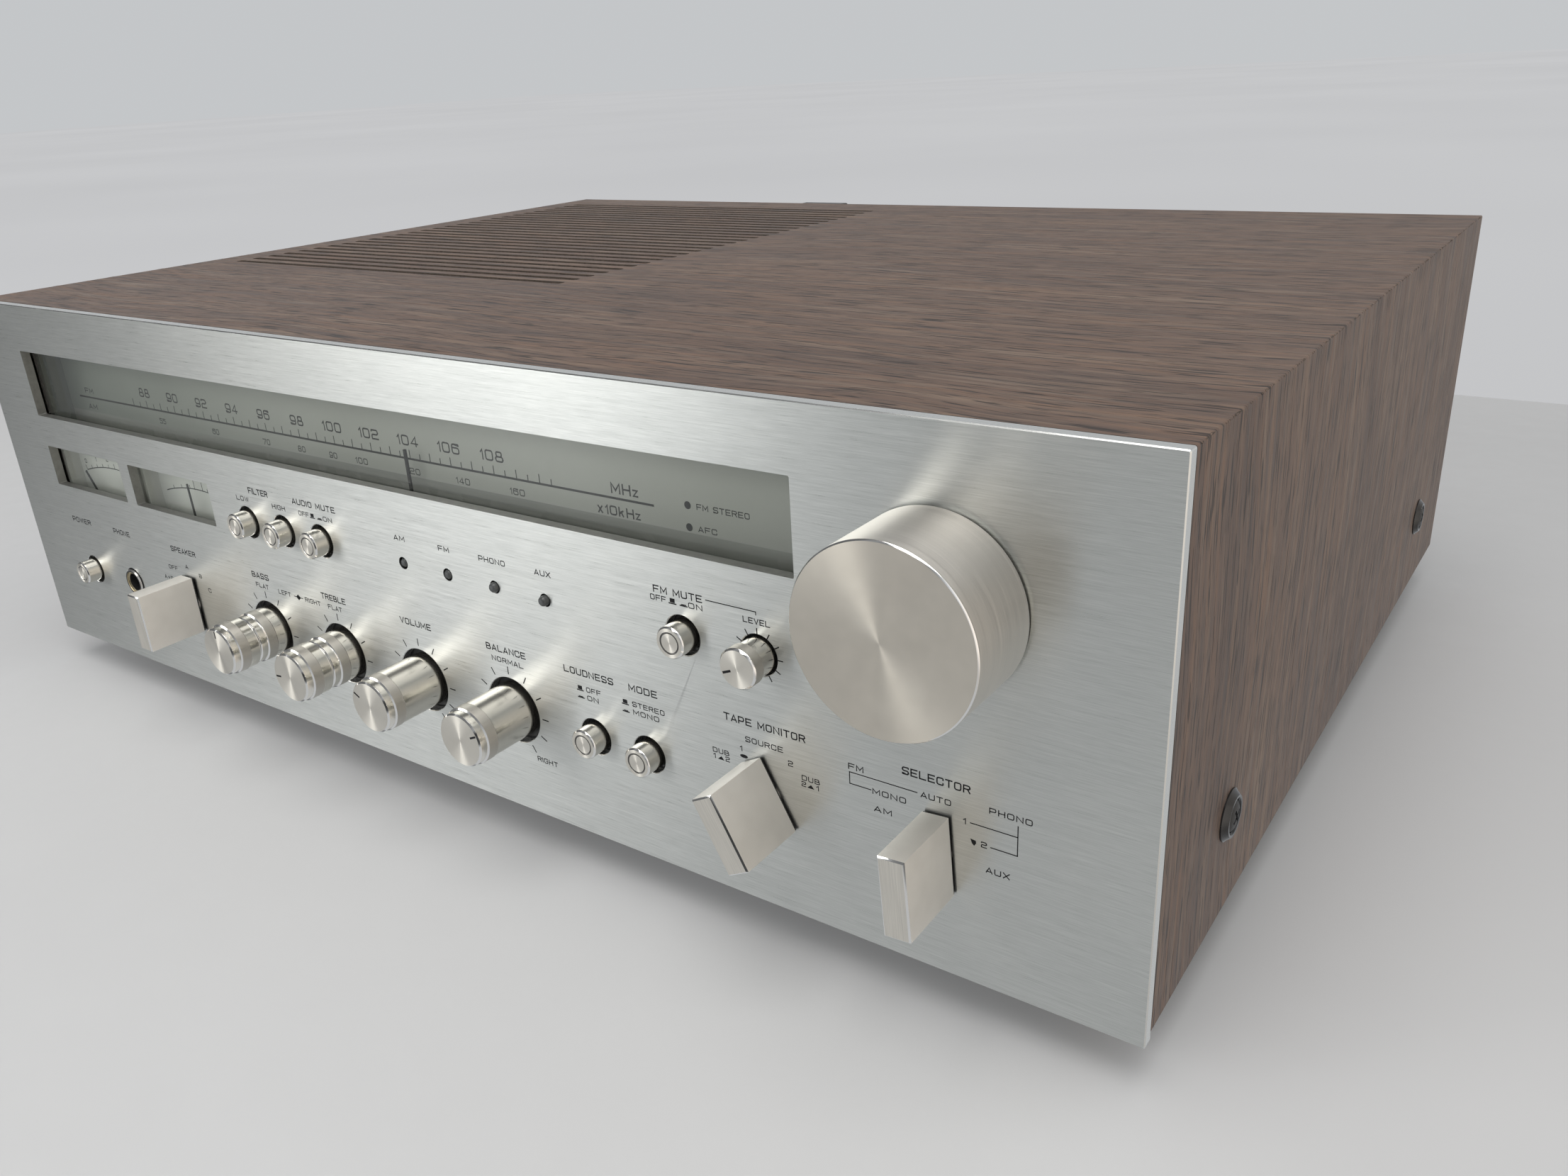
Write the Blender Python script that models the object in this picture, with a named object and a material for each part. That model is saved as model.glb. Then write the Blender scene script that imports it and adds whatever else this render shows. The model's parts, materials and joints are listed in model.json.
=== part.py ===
"""Stereo receiver with a wooden sleeve, an aluminium front panel and a cord-driven tuning dial.

All sizes are in millimetres in the receiver's own frame: X to the right as seen from the front, Y to the
rear from the front panel's face, Z up from the front panel's lower edge. The empty named receiver carries
that frame and places it so that the model's box is centred over the origin with its feet at Z = 0.
"""
import math

import bmesh
import bpy
from mathutils import Matrix, Vector

MM = 0.001
GAP = 0.3  # clearance between neighbouring pieces

# Front panel
PANEL_WIDTH = 440.0
PANEL_HEIGHT = 129.1
PANEL_THICK = 3.0
PANEL_CORNER = 1.2
PANEL_LIFT = 12.0  # panel's lower edge above the surface that the feet stand on

# Wooden sleeve: a top and two sides
SLEEVE_FRONT = PANEL_THICK + GAP
SLEEVE_REAR = 321.5
SLEEVE_BOTTOM = 2.4
SLEEVE_WALL = 10.0
VENT_COUNT = 28
VENT_PITCH = 7.35
VENT_WIDTH = 3.2
VENT_FIRST_Y = 98.5
VENT_X = (-205.0, -21.0)

# Case screws with cup washers, two in each side
SCREW_Y = (48.5, 272.0)
SCREW_Z = 30.0
SCREW_CUP_RADIUS = 6.5
SCREW_HEAD_RADIUS = 4.2
SCREW_SHANK_RADIUS = 2.5
SCREW_PROUD = 2.0
SCREW_TIP_X = 205.0

# Steel chassis inside the sleeve
STEEL = 1.2
CHASSIS_HALF = 208.5
CHASSIS_FRONT = 6.0
CHASSIS_REAR = 316.9
CHASSIS_BOTTOM = 4.5
CHASSIS_WALL_TOP = 45.0
COVER_BOTTOM = 3.0
SLOT_COUNT = 8  # ventilation slots in the bottom cover
SLOT_PITCH = 18.0
SLOT_WIDTH = 4.0
SLOT_FIRST_Y = 110.0
SLOT_X = (-150.0, -60.0)
INNER_HALF = 209.0
INNER_TOP = 118.6
DECK = CHASSIS_BOTTOM + STEEL + GAP  # where the inner pieces stand
SUB_PANEL_FRONT = 3.4
REAR_PANEL_FRONT = CHASSIS_REAR + GAP
REAR_FACE = REAR_PANEL_FRONT + STEEL  # outer face of the rear panel

# Feet
FOOT_X = 185.0
FOOT_Y = (40.0, 285.0)
FOOT_RADIUS = 13.0

# Dial window, scale tray and pointer
DIAL_X = (-192.0, 137.0)
DIAL_Z = (89.7, 113.0)
DIAL_GLASS_THICK = 2.0
SCALE_FRONT = 12.8
SCALE_THICK = 1.2
TRAY_FRONT = 5.8
TRAY_X = (-200.0, 141.0)
TRAY_Z = (83.0, 118.5)
POINTER_X = -1.0
POINTER_FRONT = 9.5
POINTER_WIDTH = 0.9
POINTER_TOP = 98.5

# The two meters
METER_X = (-167.75, -114.25)
METER_WINDOW = (47.5, 14.5)
METER_WINDOW_Z = (64.0, 78.5)
METER_CASE_WIDTH = 51.5
METER_CASE_Z = (38.0, 79.2)
METER_CASE_Y = (4.9, 24.0)
METER_FACE_Y = 9.8
NEEDLE_PIVOT_Z = 45.6
NEEDLE_LENGTH = 27.3
NEEDLE_REST_DEG = (-34.0, -2.0)

# Tuning drive
TUNING_X = 171.6
TUNING_Z = 91.4
TUNING_RADIUS = 20.7
TUNING_FRONT = -22.3
SHAFT_RADIUS = 3.0
SPOOL_RADIUS = 4.0
FLYWHEEL_RADIUS = 26.0
FLYWHEEL_Y = (30.0, 42.0)
DRUM_RADIUS = 30.0
DRUM_Y = (52.0, 60.0)
GANG_X = 110.0
GANG_Z = 62.0
GANG_Y = (66.0, 114.0)
ROTOR_RADIUS = 17.0
ROTOR_REST_DEG = 51.0
GANG_PLATES = 6

# Turned control knobs on the lower row
KNOB_Z = 31.8
KNOB_X = {"bass": -71.1, "treble": -34.3, "volume": 2.75, "balance": 39.9}
KNOB_FRONT = -19.5
KNOB_RADIUS = 8.25
KNOB_HOLE = 9.8
KNOB_SPLIT = -10.2  # rear end of the front knob of a concentric pair
SPINDLE_END = 24.2
SPINDLE_HOLE = 3.4  # in the plate behind the front panel

# Bar knobs: centre and angle at rest, clockwise from upright
BARS = {"speaker": (-116.3, 32.0, 0.0), "tape": (126.8, 32.0, -28.0), "selector": (172.2, 32.0, -4.0)}
BAR_LENGTH = 19.7
BAR_WIDTH = 6.5
BAR_FRONT = -20.0
BAR_SPINDLE = 2.9

# Level knob of the muting control
LEVEL_X = 126.0
LEVEL_Z = 68.8
LEVEL_FRONT = -8.3
LEVEL_RADIUS = 4.65

# Push buttons: centre of each
BUTTONS = {
    "power": (-181.5, 32.2),
    "low_filter": (-71.0, 68.7),
    "high_filter": (-52.7, 68.7),
    "audio_mute": (-34.3, 68.7),
    "fm_mute": (103.8, 68.8),
    "loudness": (70.6, 32.0),
    "mode": (89.0, 32.0),
}
BUTTON_RADIUS = 4.15
BUTTON_FRONT = -5.0
BUTTON_REAR = 10.0
BUTTON_HOLE = 5.2

# Indicator lamps: X of each and how far it stands out of the panel
LAMP_Z = 68.6
LAMPS = ((2.8, 0.3), (21.3, 0.6), (39.8, 1.5), (58.4, 1.8))
LAMP_RADIUS = 1.45
LAMP_HOLE = 1.8

# Headphone socket for a 6.35 mm plug
JACK_X = -154.0
JACK_Z = 32.3
JACK_RADIUS = 4.9
JACK_BORE = 3.25
JACK_DEPTH = 32.6

# Rear antenna on its hinge bracket
ANTENNA_X = -76.0
ANTENNA_Y = 338.0
ANTENNA_Z = 105.0
ANTENNA_ROD = 5.5
ANTENNA_HUB = 6.0
ANTENNA_HUB_HALF = 7.0  # half the space between the bracket's ears
ANTENNA_LENGTH = 160.0
BRACKET_REAR = 346.0
BRACKET_TOP = 127.0

# Rear connectors: X and Z spans of each body
SPEAKER_BODY = ((-161.0, -79.0), (24.0, 50.0))
SIGNAL_BODY = ((44.0, 156.0), (30.0, 70.0))
AERIAL_BODY = ((64.0, 126.0), (80.0, 92.0))
FLANGE_BORDER = 4.0
FLANGE_Y = (REAR_FACE + GAP, REAR_FACE + GAP + 2.0)

# Cord gland
GLAND_X = -190.0
GLAND_Z = 26.0
GLAND_BORE = 3.6
GLAND_WAIST = 6.0
GLAND_OUTER = 8.0

# Inner pieces
SWITCH_FRONT = 14.2  # front of a push switch's body, clear of its button when pressed
SWITCH_HALF = 5.0
ROTARY_HALF = 8.5
INDICATOR_BOARD_Y = (24.5, 26.1)
CONTROL_BOARD_Y = (44.0, 45.6)
BOARD_Z = (16.0, 17.6)
CAPACITOR_X = (-175.0, -138.0)
CAPACITOR_Y = 130.0
CAPACITOR_RADIUS = 15.0
CAPACITOR_TOP = 59.0

RECEIVER_Y = -(TUNING_FRONT + BRACKET_REAR) / 2


def clear_scene():
    for thing in list(bpy.data.objects):
        bpy.data.objects.remove(thing, do_unlink=True)


def material(name, colour, roughness, metallic=0.0, alpha=1.0):
    made = bpy.data.materials.get(name)
    if made is None:
        made = bpy.data.materials.new(name)
        made.use_nodes = True
        shader = made.node_tree.nodes["Principled BSDF"]
        shader.inputs["Base Color"].default_value = (*colour, 1.0)
        shader.inputs["Roughness"].default_value = roughness
        shader.inputs["Metallic"].default_value = metallic
        shader.inputs["Alpha"].default_value = alpha
    return made


def aluminium():
    return material("aluminium", (0.78, 0.77, 0.75), 0.35, 1.0)


def black_steel():
    return material("black_steel", (0.02, 0.02, 0.022), 0.6)


def plated_steel():
    return material("plated_steel", (0.62, 0.61, 0.57), 0.45, 1.0)


def black_plastic():
    return material("black_plastic", (0.025, 0.025, 0.027), 0.5)


def circuit_board():
    return material("circuit_board", (0.35, 0.22, 0.09), 0.7)


# Shapes, each added to a bmesh in millimetres

def block(shape, x, y, z):
    """A box between the low and high values of three pairs."""
    low = Vector((x[0], y[0], z[0]))
    high = Vector((x[1], y[1], z[1]))
    place = Matrix.Translation((low + high) / 2) @ Matrix.Diagonal((*(high - low), 1.0))
    bmesh.ops.create_cube(shape, size=1.0, matrix=place)


def turn_to(axis):
    """A rotation that takes the +Y direction to the named axis."""
    if axis == "X":
        return Matrix.Rotation(-math.pi / 2, 4, "Z")
    if axis == "Z":
        return Matrix.Rotation(math.pi / 2, 4, "X")
    return Matrix.Identity(4)


def turned(shape, profile, sides, axis="Y", at=(0.0, 0.0, 0.0), ring=False):
    """A solid of revolution: profile holds (radius, distance along the axis) points.

    An open profile starts and ends on the axis. A ring's profile closes on itself.
    """
    spun = bmesh.new()
    points = [spun.verts.new((radius, along, 0.0)) for radius, along in profile]
    pairs = list(zip(points, points[1:]))
    if ring:
        pairs.append((points[-1], points[0]))
    edges = [spun.edges.new(pair) for pair in pairs]
    bmesh.ops.spin(spun, geom=points + edges, cent=(0, 0, 0), axis=(0, 1, 0), dvec=(0, 0, 0),
                   angle=2 * math.pi, steps=sides, use_merge=True, use_duplicate=False)
    bmesh.ops.remove_doubles(spun, verts=spun.verts[:], dist=0.001)
    bmesh.ops.recalc_face_normals(spun, faces=spun.faces[:])
    spun.transform(Matrix.Translation(at) @ turn_to(axis))
    add_mesh(shape, spun)


def rod(shape, axis, at, radius, span, sides=16):
    """A cylinder along an axis through at, between two distances along that axis."""
    profile = [(0.0, span[0]), (radius, span[0]), (radius, span[1]), (0.0, span[1])]
    turned(shape, profile, sides, axis, at)


def prism(shape, outline, axis, span):
    """An outline pushed along an axis: its points are the other two axes' values in X, Y, Z order."""
    def place(a, b, along):
        return {"X": (along, a, b), "Y": (a, along, b), "Z": (a, b, along)}[axis]

    pushed = bmesh.new()
    corners = [pushed.verts.new(place(a, b, span[0])) for a, b in outline]
    face = pushed.faces.new(corners)
    result = bmesh.ops.extrude_face_region(pushed, geom=[face])
    moved = [item for item in result["geom"] if isinstance(item, bmesh.types.BMVert)]
    bmesh.ops.translate(pushed, verts=moved, vec=Vector(place(0.0, 0.0, span[1] - span[0])))
    bmesh.ops.recalc_face_normals(pushed, faces=pushed.faces[:])
    add_mesh(shape, pushed)


def add_mesh(shape, addition):
    scratch = bpy.data.meshes.new("scratch")
    addition.to_mesh(scratch)
    addition.free()
    shape.from_mesh(scratch)
    bpy.data.meshes.remove(scratch)


# Objects

def new_object(name, shape, look, at=(0.0, 0.0, 0.0), turn_deg=0.0, smooth=False):
    """One named piece at a place in the receiver's frame, turned clockwise about +Y."""
    shape.transform(Matrix.Scale(MM, 4))
    mesh = bpy.data.meshes.new(name)
    shape.to_mesh(mesh)
    shape.free()
    if smooth:
        mesh.shade_smooth()
        mesh.set_sharp_from_angle(angle=math.radians(35))
    mesh.materials.append(look)
    piece = bpy.data.objects.new(name, mesh)
    bpy.context.scene.collection.objects.link(piece)
    piece.parent = bpy.data.objects["receiver"]
    piece.location = Vector(at) * MM
    piece.rotation_euler = (0.0, math.radians(turn_deg), 0.0)
    return piece


def combine(piece, operation, shape):
    """Joins a shape to a piece, or cuts it out of one, with a Boolean modifier."""
    tool = new_object(f"{piece.name}_{operation.lower()}", shape, piece.data.materials[0])
    tool.location = piece.location
    tool.rotation_euler = piece.rotation_euler
    tool.hide_render = True
    tool.display_type = "WIRE"
    modifier = piece.modifiers.new(operation.title(), "BOOLEAN")
    modifier.operation = operation
    modifier.object = tool
    modifier.solver = "EXACT"
    modifier.use_self = operation == "UNION"


# The case

def front_panel():
    half = PANEL_WIDTH / 2
    plate = bmesh.new()
    outline = []
    corners = ((half, PANEL_HEIGHT, 0), (-half, PANEL_HEIGHT, 90), (-half, 0.0, 180), (half, 0.0, 270))
    for x, z, start in corners:
        inset_x = x - math.copysign(PANEL_CORNER, x)
        inset_z = z - PANEL_CORNER if z > 0 else PANEL_CORNER
        for step in range(4):
            angle = math.radians(start + step * 30)
            corner_x = inset_x + PANEL_CORNER * math.cos(angle)
            corner_z = inset_z + PANEL_CORNER * math.sin(angle)
            outline.append((corner_x, corner_z))
    prism(plate, outline, "Y", (0.0, PANEL_THICK))
    piece = new_object("front_panel", plate, aluminium())

    through = (-2.0, PANEL_THICK + 2.0)
    holes = bmesh.new()
    block(holes, DIAL_X, through, DIAL_Z)
    for centre in METER_X:
        half_window = METER_WINDOW[0] / 2
        block(holes, (centre - half_window, centre + half_window), through, METER_WINDOW_Z)
    for x in KNOB_X.values():
        rod(holes, "Y", (x, 0.0, KNOB_Z), KNOB_HOLE, through, 24)
    for x, z in [*BUTTONS.values(), (JACK_X, JACK_Z), (LEVEL_X, LEVEL_Z)]:
        rod(holes, "Y", (x, 0.0, z), BUTTON_HOLE, through, 16)
    for x, z, _ in BARS.values():
        rod(holes, "Y", (x, 0.0, z), BAR_SPINDLE + GAP, through, 12)
    rod(holes, "Y", (TUNING_X, 0.0, TUNING_Z), BAR_SPINDLE + GAP + 0.2, through, 12)
    for x, _ in LAMPS:
        rod(holes, "Y", (x, 0.0, LAMP_Z), LAMP_HOLE, through, 8)
    combine(piece, "DIFFERENCE", holes)


def sub_panel():
    """Black plate behind the front panel: it leaves the dial and the meters open."""
    plate = bmesh.new()
    outline = [(-INNER_HALF, 4.0), (INNER_HALF, 4.0), (INNER_HALF, 118.0), (142.0, 118.0), (142.0, 82.0),
               (-84.0, 82.0), (-84.0, 58.0), (-INNER_HALF, 58.0)]
    prism(plate, outline, "Y", (SUB_PANEL_FRONT, SUB_PANEL_FRONT + STEEL))
    piece = new_object("sub_panel", plate, black_steel())

    through = (SUB_PANEL_FRONT - 2.0, SUB_PANEL_FRONT + STEEL + 2.0)
    holes = bmesh.new()
    spindles = [(x, KNOB_Z) for x in KNOB_X.values()]
    spindles += [(x, z) for x, z, _ in BARS.values()]
    spindles += [(LEVEL_X, LEVEL_Z), (TUNING_X, TUNING_Z)]
    for x, z in spindles:
        rod(holes, "Y", (x, 0.0, z), SPINDLE_HOLE, through, 12)
    for x, z in BUTTONS.values():
        rod(holes, "Y", (x, 0.0, z), BUTTON_RADIUS + 0.4, through, 12)
    rod(holes, "Y", (JACK_X, 0.0, JACK_Z), JACK_RADIUS + 0.4, through, 12)
    for x, _ in LAMPS:
        rod(holes, "Y", (x, 0.0, LAMP_Z), LAMP_HOLE, through, 8)
    combine(piece, "DIFFERENCE", holes)


def wood_cabinet():
    half = PANEL_WIDTH / 2
    inner = half - SLEEVE_WALL
    ceiling = PANEL_HEIGHT - SLEEVE_WALL
    sleeve = bmesh.new()
    outline = [(-half, SLEEVE_BOTTOM), (-inner, SLEEVE_BOTTOM), (-inner, ceiling), (inner, ceiling),
               (inner, SLEEVE_BOTTOM), (half, SLEEVE_BOTTOM), (half, PANEL_HEIGHT), (-half, PANEL_HEIGHT)]
    prism(sleeve, outline, "Y", (SLEEVE_FRONT, SLEEVE_REAR))
    walnut = material("walnut", (0.20, 0.115, 0.075), 0.45)
    piece = new_object("wood_cabinet", sleeve, walnut)

    cuts = bmesh.new()
    through_top = (ceiling - 1.0, PANEL_HEIGHT + 1.0)
    for row in range(VENT_COUNT):
        middle = VENT_FIRST_Y + row * VENT_PITCH
        block(cuts, VENT_X, (middle - VENT_WIDTH / 2, middle + VENT_WIDTH / 2), through_top)
    for side in (-1, 1):
        span = sorted((side * (inner - 2.0), side * (half + 2.0)))
        for y in SCREW_Y:
            rod(cuts, "X", (0.0, y, SCREW_Z), SCREW_SHANK_RADIUS + GAP, span, 12)
    combine(piece, "DIFFERENCE", cuts)


def case_screws():
    """A black cup washer and screw, made once for the right side and turned round for the left."""
    half = PANEL_WIDTH / 2
    length = half + GAP - SCREW_TIP_X
    profile = [(0.0, SCREW_PROUD), (SCREW_HEAD_RADIUS - 1.0, SCREW_PROUD - 0.1),
               (SCREW_HEAD_RADIUS, SCREW_PROUD - 0.7), (SCREW_CUP_RADIUS, GAP + 0.3),
               (SCREW_CUP_RADIUS, GAP), (SCREW_SHANK_RADIUS, GAP), (SCREW_SHANK_RADIUS, GAP - length),
               (0.0, GAP - length)]
    for side, name in ((1, "right"), (-1, "left")):
        for y, end in zip(SCREW_Y, ("front", "rear")):
            shape = bmesh.new()
            turned(shape, [(radius, side * along) for radius, along in profile], 14, "X")
            place = (side * half, y, SCREW_Z)
            new_object(f"case_screw_{end}_{name}", shape, black_plastic(), place, smooth=True)


def chassis():
    bottom = CHASSIS_BOTTOM
    outer = CHASSIS_HALF
    inner = CHASSIS_HALF - STEEL
    tray = bmesh.new()
    outline = [(-outer, bottom), (outer, bottom), (outer, CHASSIS_WALL_TOP), (inner, CHASSIS_WALL_TOP),
               (inner, bottom + STEEL), (-inner, bottom + STEEL), (-inner, CHASSIS_WALL_TOP),
               (-outer, CHASSIS_WALL_TOP)]
    prism(tray, outline, "Y", (CHASSIS_FRONT, CHASSIS_REAR))
    piece = new_object("chassis", tray, plated_steel())
    holes = bmesh.new()
    for side in (-1, 1):
        span = sorted((side * (inner - 2.0), side * (outer + 2.0)))
        for y in SCREW_Y:
            rod(holes, "X", (0.0, y, SCREW_Z), SCREW_SHANK_RADIUS + GAP, span, 12)
    combine(piece, "DIFFERENCE", holes)


def bottom_cover():
    top = COVER_BOTTOM + STEEL
    plate = bmesh.new()
    block(plate, (-INNER_HALF, INNER_HALF), (CHASSIS_FRONT, CHASSIS_REAR), (COVER_BOTTOM, top))
    piece = new_object("bottom_cover", plate, black_steel())
    slots = bmesh.new()
    for row in range(SLOT_COUNT):
        front = SLOT_FIRST_Y + row * SLOT_PITCH
        block(slots, SLOT_X, (front, front + SLOT_WIDTH), (COVER_BOTTOM - 1.0, top + 1.0))
    combine(piece, "DIFFERENCE", slots)


def feet():
    rubber = material("black_rubber", (0.03, 0.03, 0.03), 0.8)
    profile = [(0.0, -PANEL_LIFT), (FOOT_RADIUS - 2.0, -PANEL_LIFT), (FOOT_RADIUS - 1.0, 1.0 - PANEL_LIFT),
               (FOOT_RADIUS, COVER_BOTTOM - GAP), (0.0, COVER_BOTTOM - GAP)]
    for side, x in (("left", -FOOT_X), ("right", FOOT_X)):
        for end, y in zip(("front", "rear"), FOOT_Y):
            shape = bmesh.new()
            turned(shape, profile, 16, "Z")
            new_object(f"foot_{end}_{side}", shape, rubber, (x, y, 0.0), smooth=True)


# Rear connectors: a flange outside the rear panel, a body through it, and contacts behind that


def rear_panel():
    plate = bmesh.new()
    block(plate, (-INNER_HALF, INNER_HALF), (REAR_PANEL_FRONT, REAR_FACE), (COVER_BOTTOM, INNER_TOP))
    piece = new_object("rear_panel", plate, black_steel())
    through = (REAR_PANEL_FRONT - 2.0, REAR_FACE + 2.0)
    cuts = bmesh.new()
    for x, z in (SPEAKER_BODY, SIGNAL_BODY, AERIAL_BODY):
        block(cuts, (x[0] - GAP, x[1] + GAP), through, (z[0] - GAP, z[1] + GAP))
    rod(cuts, "Y", (GLAND_X, 0.0, GLAND_Z), GLAND_WAIST + GAP, through, 16)
    combine(piece, "DIFFERENCE", cuts)


def connector(name, body, depth, look):
    x, z = body
    flange = bmesh.new()
    border = FLANGE_BORDER
    block(flange, (x[0] - border, x[1] + border), FLANGE_Y, (z[0] - border, z[1] + border))
    piece = new_object(name, flange, look)
    extras = bmesh.new()
    block(extras, x, (REAR_FACE - depth, FLANGE_Y[0] + 1.0), z)
    return piece, extras


def speaker_terminals():
    """Twelve push levers in two rows: left and right, plus and minus, for three pairs of speakers."""
    piece, extras = connector("speaker_terminals", SPEAKER_BODY, 14.0, black_plastic())
    for column in range(6):
        x = -153.0 + column * 13.2
        for z in (30.0, 44.0):
            block(extras, (x - 3.5, x + 3.5), (FLANGE_Y[0] + 1.0, FLANGE_Y[1] + 5.0), (z - 3.0, z + 3.0))
    combine(piece, "UNION", extras)


def signal_jacks():
    """Two rows of phono sockets for the record players, tape decks and auxiliary source."""
    piece, extras = connector("signal_jacks", SIGNAL_BODY, 18.0, black_plastic())
    for column in range(6):
        x = 54.0 + column * 18.4
        for z in (40.0, 60.0):
            rod(extras, "Y", (x, 0.0, z), 4.2, (FLANGE_Y[0] + 1.0, FLANGE_Y[1] + 8.0), 8)
    combine(piece, "UNION", extras)


def antenna_terminals():
    piece, extras = connector("antenna_terminals", AERIAL_BODY, 12.0, black_plastic())
    for column in range(4):
        rod(extras, "Y", (71.0 + column * 16.0, 0.0, 86.0), 3.2, (FLANGE_Y[0] + 1.0, FLANGE_Y[1] + 4.0), 8)
    combine(piece, "UNION", extras)


def cord_gland():
    """Grommet with a groove that grips the edge of its hole in the rear panel."""
    inner_end = REAR_PANEL_FRONT - 3.2
    outer_end = REAR_FACE + 3.0
    groove = (REAR_PANEL_FRONT - GAP, REAR_FACE + GAP)
    shape = bmesh.new()
    profile = [(GLAND_BORE, inner_end), (GLAND_OUTER, inner_end), (GLAND_OUTER, groove[0]),
               (GLAND_WAIST, groove[0]), (GLAND_WAIST, groove[1]), (GLAND_OUTER, groove[1]),
               (GLAND_OUTER, outer_end), (GLAND_BORE, outer_end)]
    turned(shape, profile, 16, ring=True)
    new_object("cord_gland", shape, black_plastic(), (GLAND_X, 0.0, GLAND_Z), smooth=True)


def antenna_bracket():
    """Two ears behind the rear panel that hold the antenna's hub between them."""
    hub_low = ANTENNA_Z - ANTENNA_HUB_HALF
    hub_high = ANTENNA_Z + ANTENNA_HUB_HALF
    base = REAR_FACE + GAP
    outline = [(base, hub_low - 6.0), (BRACKET_REAR, hub_low - 6.0), (BRACKET_REAR, hub_low),
               (base + 2.5, hub_low), (base + 2.5, hub_high), (BRACKET_REAR, hub_high),
               (BRACKET_REAR, BRACKET_TOP), (SLEEVE_REAR + 0.5, BRACKET_TOP), (SLEEVE_REAR + 0.5, INNER_TOP),
               (base, INNER_TOP)]
    shape = bmesh.new()
    prism(shape, outline, "X", (ANTENNA_X - 12.0, ANTENNA_X + 12.0))
    new_object("antenna_bracket", shape, black_plastic())


def am_antenna():
    hub = bmesh.new()
    rod(hub, "Z", (0.0, 0.0, 0.0), ANTENNA_HUB, (-ANTENNA_HUB_HALF + GAP, ANTENNA_HUB_HALF - GAP), 16)
    place = (ANTENNA_X, ANTENNA_Y, ANTENNA_Z)
    piece = new_object("am_antenna", hub, black_plastic(), place, smooth=True)
    bar = bmesh.new()
    rod(bar, "X", (0.0, 0.0, 0.0), ANTENNA_ROD, (1.0, ANTENNA_LENGTH), 16)
    combine(piece, "UNION", bar)


# Dial and meters

def windows():
    clear = material("clear_window", (0.9, 0.95, 0.93), 0.05, 0.0, 0.35)
    dial = bmesh.new()
    block(dial, TRAY_X, (SUB_PANEL_FRONT, SUB_PANEL_FRONT + DIAL_GLASS_THICK), (TRAY_Z[0] + 1.0, TRAY_Z[1]))
    new_object("dial_window", dial, clear)
    meters = bmesh.new()
    block(meters, (-197.0, -86.0), (SUB_PANEL_FRONT, METER_CASE_Y[0] - GAP), (60.5, 80.5))
    new_object("meter_window", meters, clear)


def dial_scale():
    """Tray behind the dial window: the scale plate with its two cheeks and upper lip."""
    grey = material("dial_grey", (0.36, 0.37, 0.36), 0.4)
    plate = bmesh.new()
    block(plate, TRAY_X, (SCALE_FRONT, SCALE_FRONT + SCALE_THICK), TRAY_Z)
    piece = new_object("dial_scale", plate, grey)
    rims = bmesh.new()
    deep = (TRAY_FRONT, SCALE_FRONT + SCALE_THICK / 2)
    lip_top = TRAY_Z[1] - 1.5
    cheek_z = (TRAY_Z[0] + 1.0, lip_top)
    block(rims, (DIAL_X[0] - 3.3, DIAL_X[0] - GAP), deep, cheek_z)
    block(rims, (DIAL_X[1] + GAP, DIAL_X[1] + 3.3), deep, cheek_z)
    block(rims, (DIAL_X[0] + 0.5, DIAL_X[1] - 0.5), deep, (lip_top - 2.5, lip_top))
    combine(piece, "UNION", rims)


def dial_pointer():
    """Needle in front of the scale on a carriage that wraps under the scale plate's lower edge."""
    bridge_z = (80.2, 82.5)
    carriage_rear = 18.0
    root = bridge_z[0] + 1.0
    carriage = bmesh.new()
    block(carriage, (-8.0, 8.0), (POINTER_FRONT, carriage_rear), bridge_z)
    black = material("pointer_black", (0.02, 0.02, 0.02), 0.4)
    piece = new_object("dial_pointer", carriage, black, (POINTER_X, 0.0, 0.0))
    extras = bmesh.new()
    half = POINTER_WIDTH / 2
    block(extras, (-half, half), (POINTER_FRONT + 0.05, POINTER_FRONT + 0.65), (root, POINTER_TOP))
    behind_scale = (SCALE_FRONT + SCALE_THICK + 0.5, carriage_rear - 0.5)
    block(extras, (-7.0, 7.0), behind_scale, (root, 92.0))
    combine(piece, "UNION", extras)


def meters():
    """Two moving-coil meters: an open-fronted case, and a needle on a hub at the pivot."""
    half = METER_CASE_WIDTH / 2
    for centre, rest, name in zip(METER_X, NEEDLE_REST_DEG, ("signal", "tuning")):
        case = bmesh.new()
        block(case, (centre - half, centre + half), METER_CASE_Y, METER_CASE_Z)
        piece = new_object(f"{name}_meter", case, material("meter_case", (0.45, 0.46, 0.46), 0.5))
        hollow = bmesh.new()
        open_y = (METER_CASE_Y[0] - 2.0, METER_FACE_Y)
        block(hollow, (centre - 24.0, centre + 24.0), open_y, (METER_CASE_Z[0] + 1.5, METER_CASE_Z[1] - 0.5))
        combine(piece, "DIFFERENCE", hollow)

        hub = bmesh.new()
        rod(hub, "Y", (0.0, 0.0, 0.0), 3.0, (METER_CASE_Y[0] + 0.5, METER_FACE_Y - 0.4), 12)
        needle = new_object(f"{name}_needle", hub, black_plastic(), (centre, 0.0, NEEDLE_PIVOT_Z), rest)
        blades = bmesh.new()
        block(blades, (-0.35, 0.35), (6.6, 7.0), (1.0, NEEDLE_LENGTH))
        block(blades, (-1.2, 1.2), (6.0, 8.0), (-5.0, -1.0))
        combine(needle, "UNION", blades)


# Tuning drive

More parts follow.
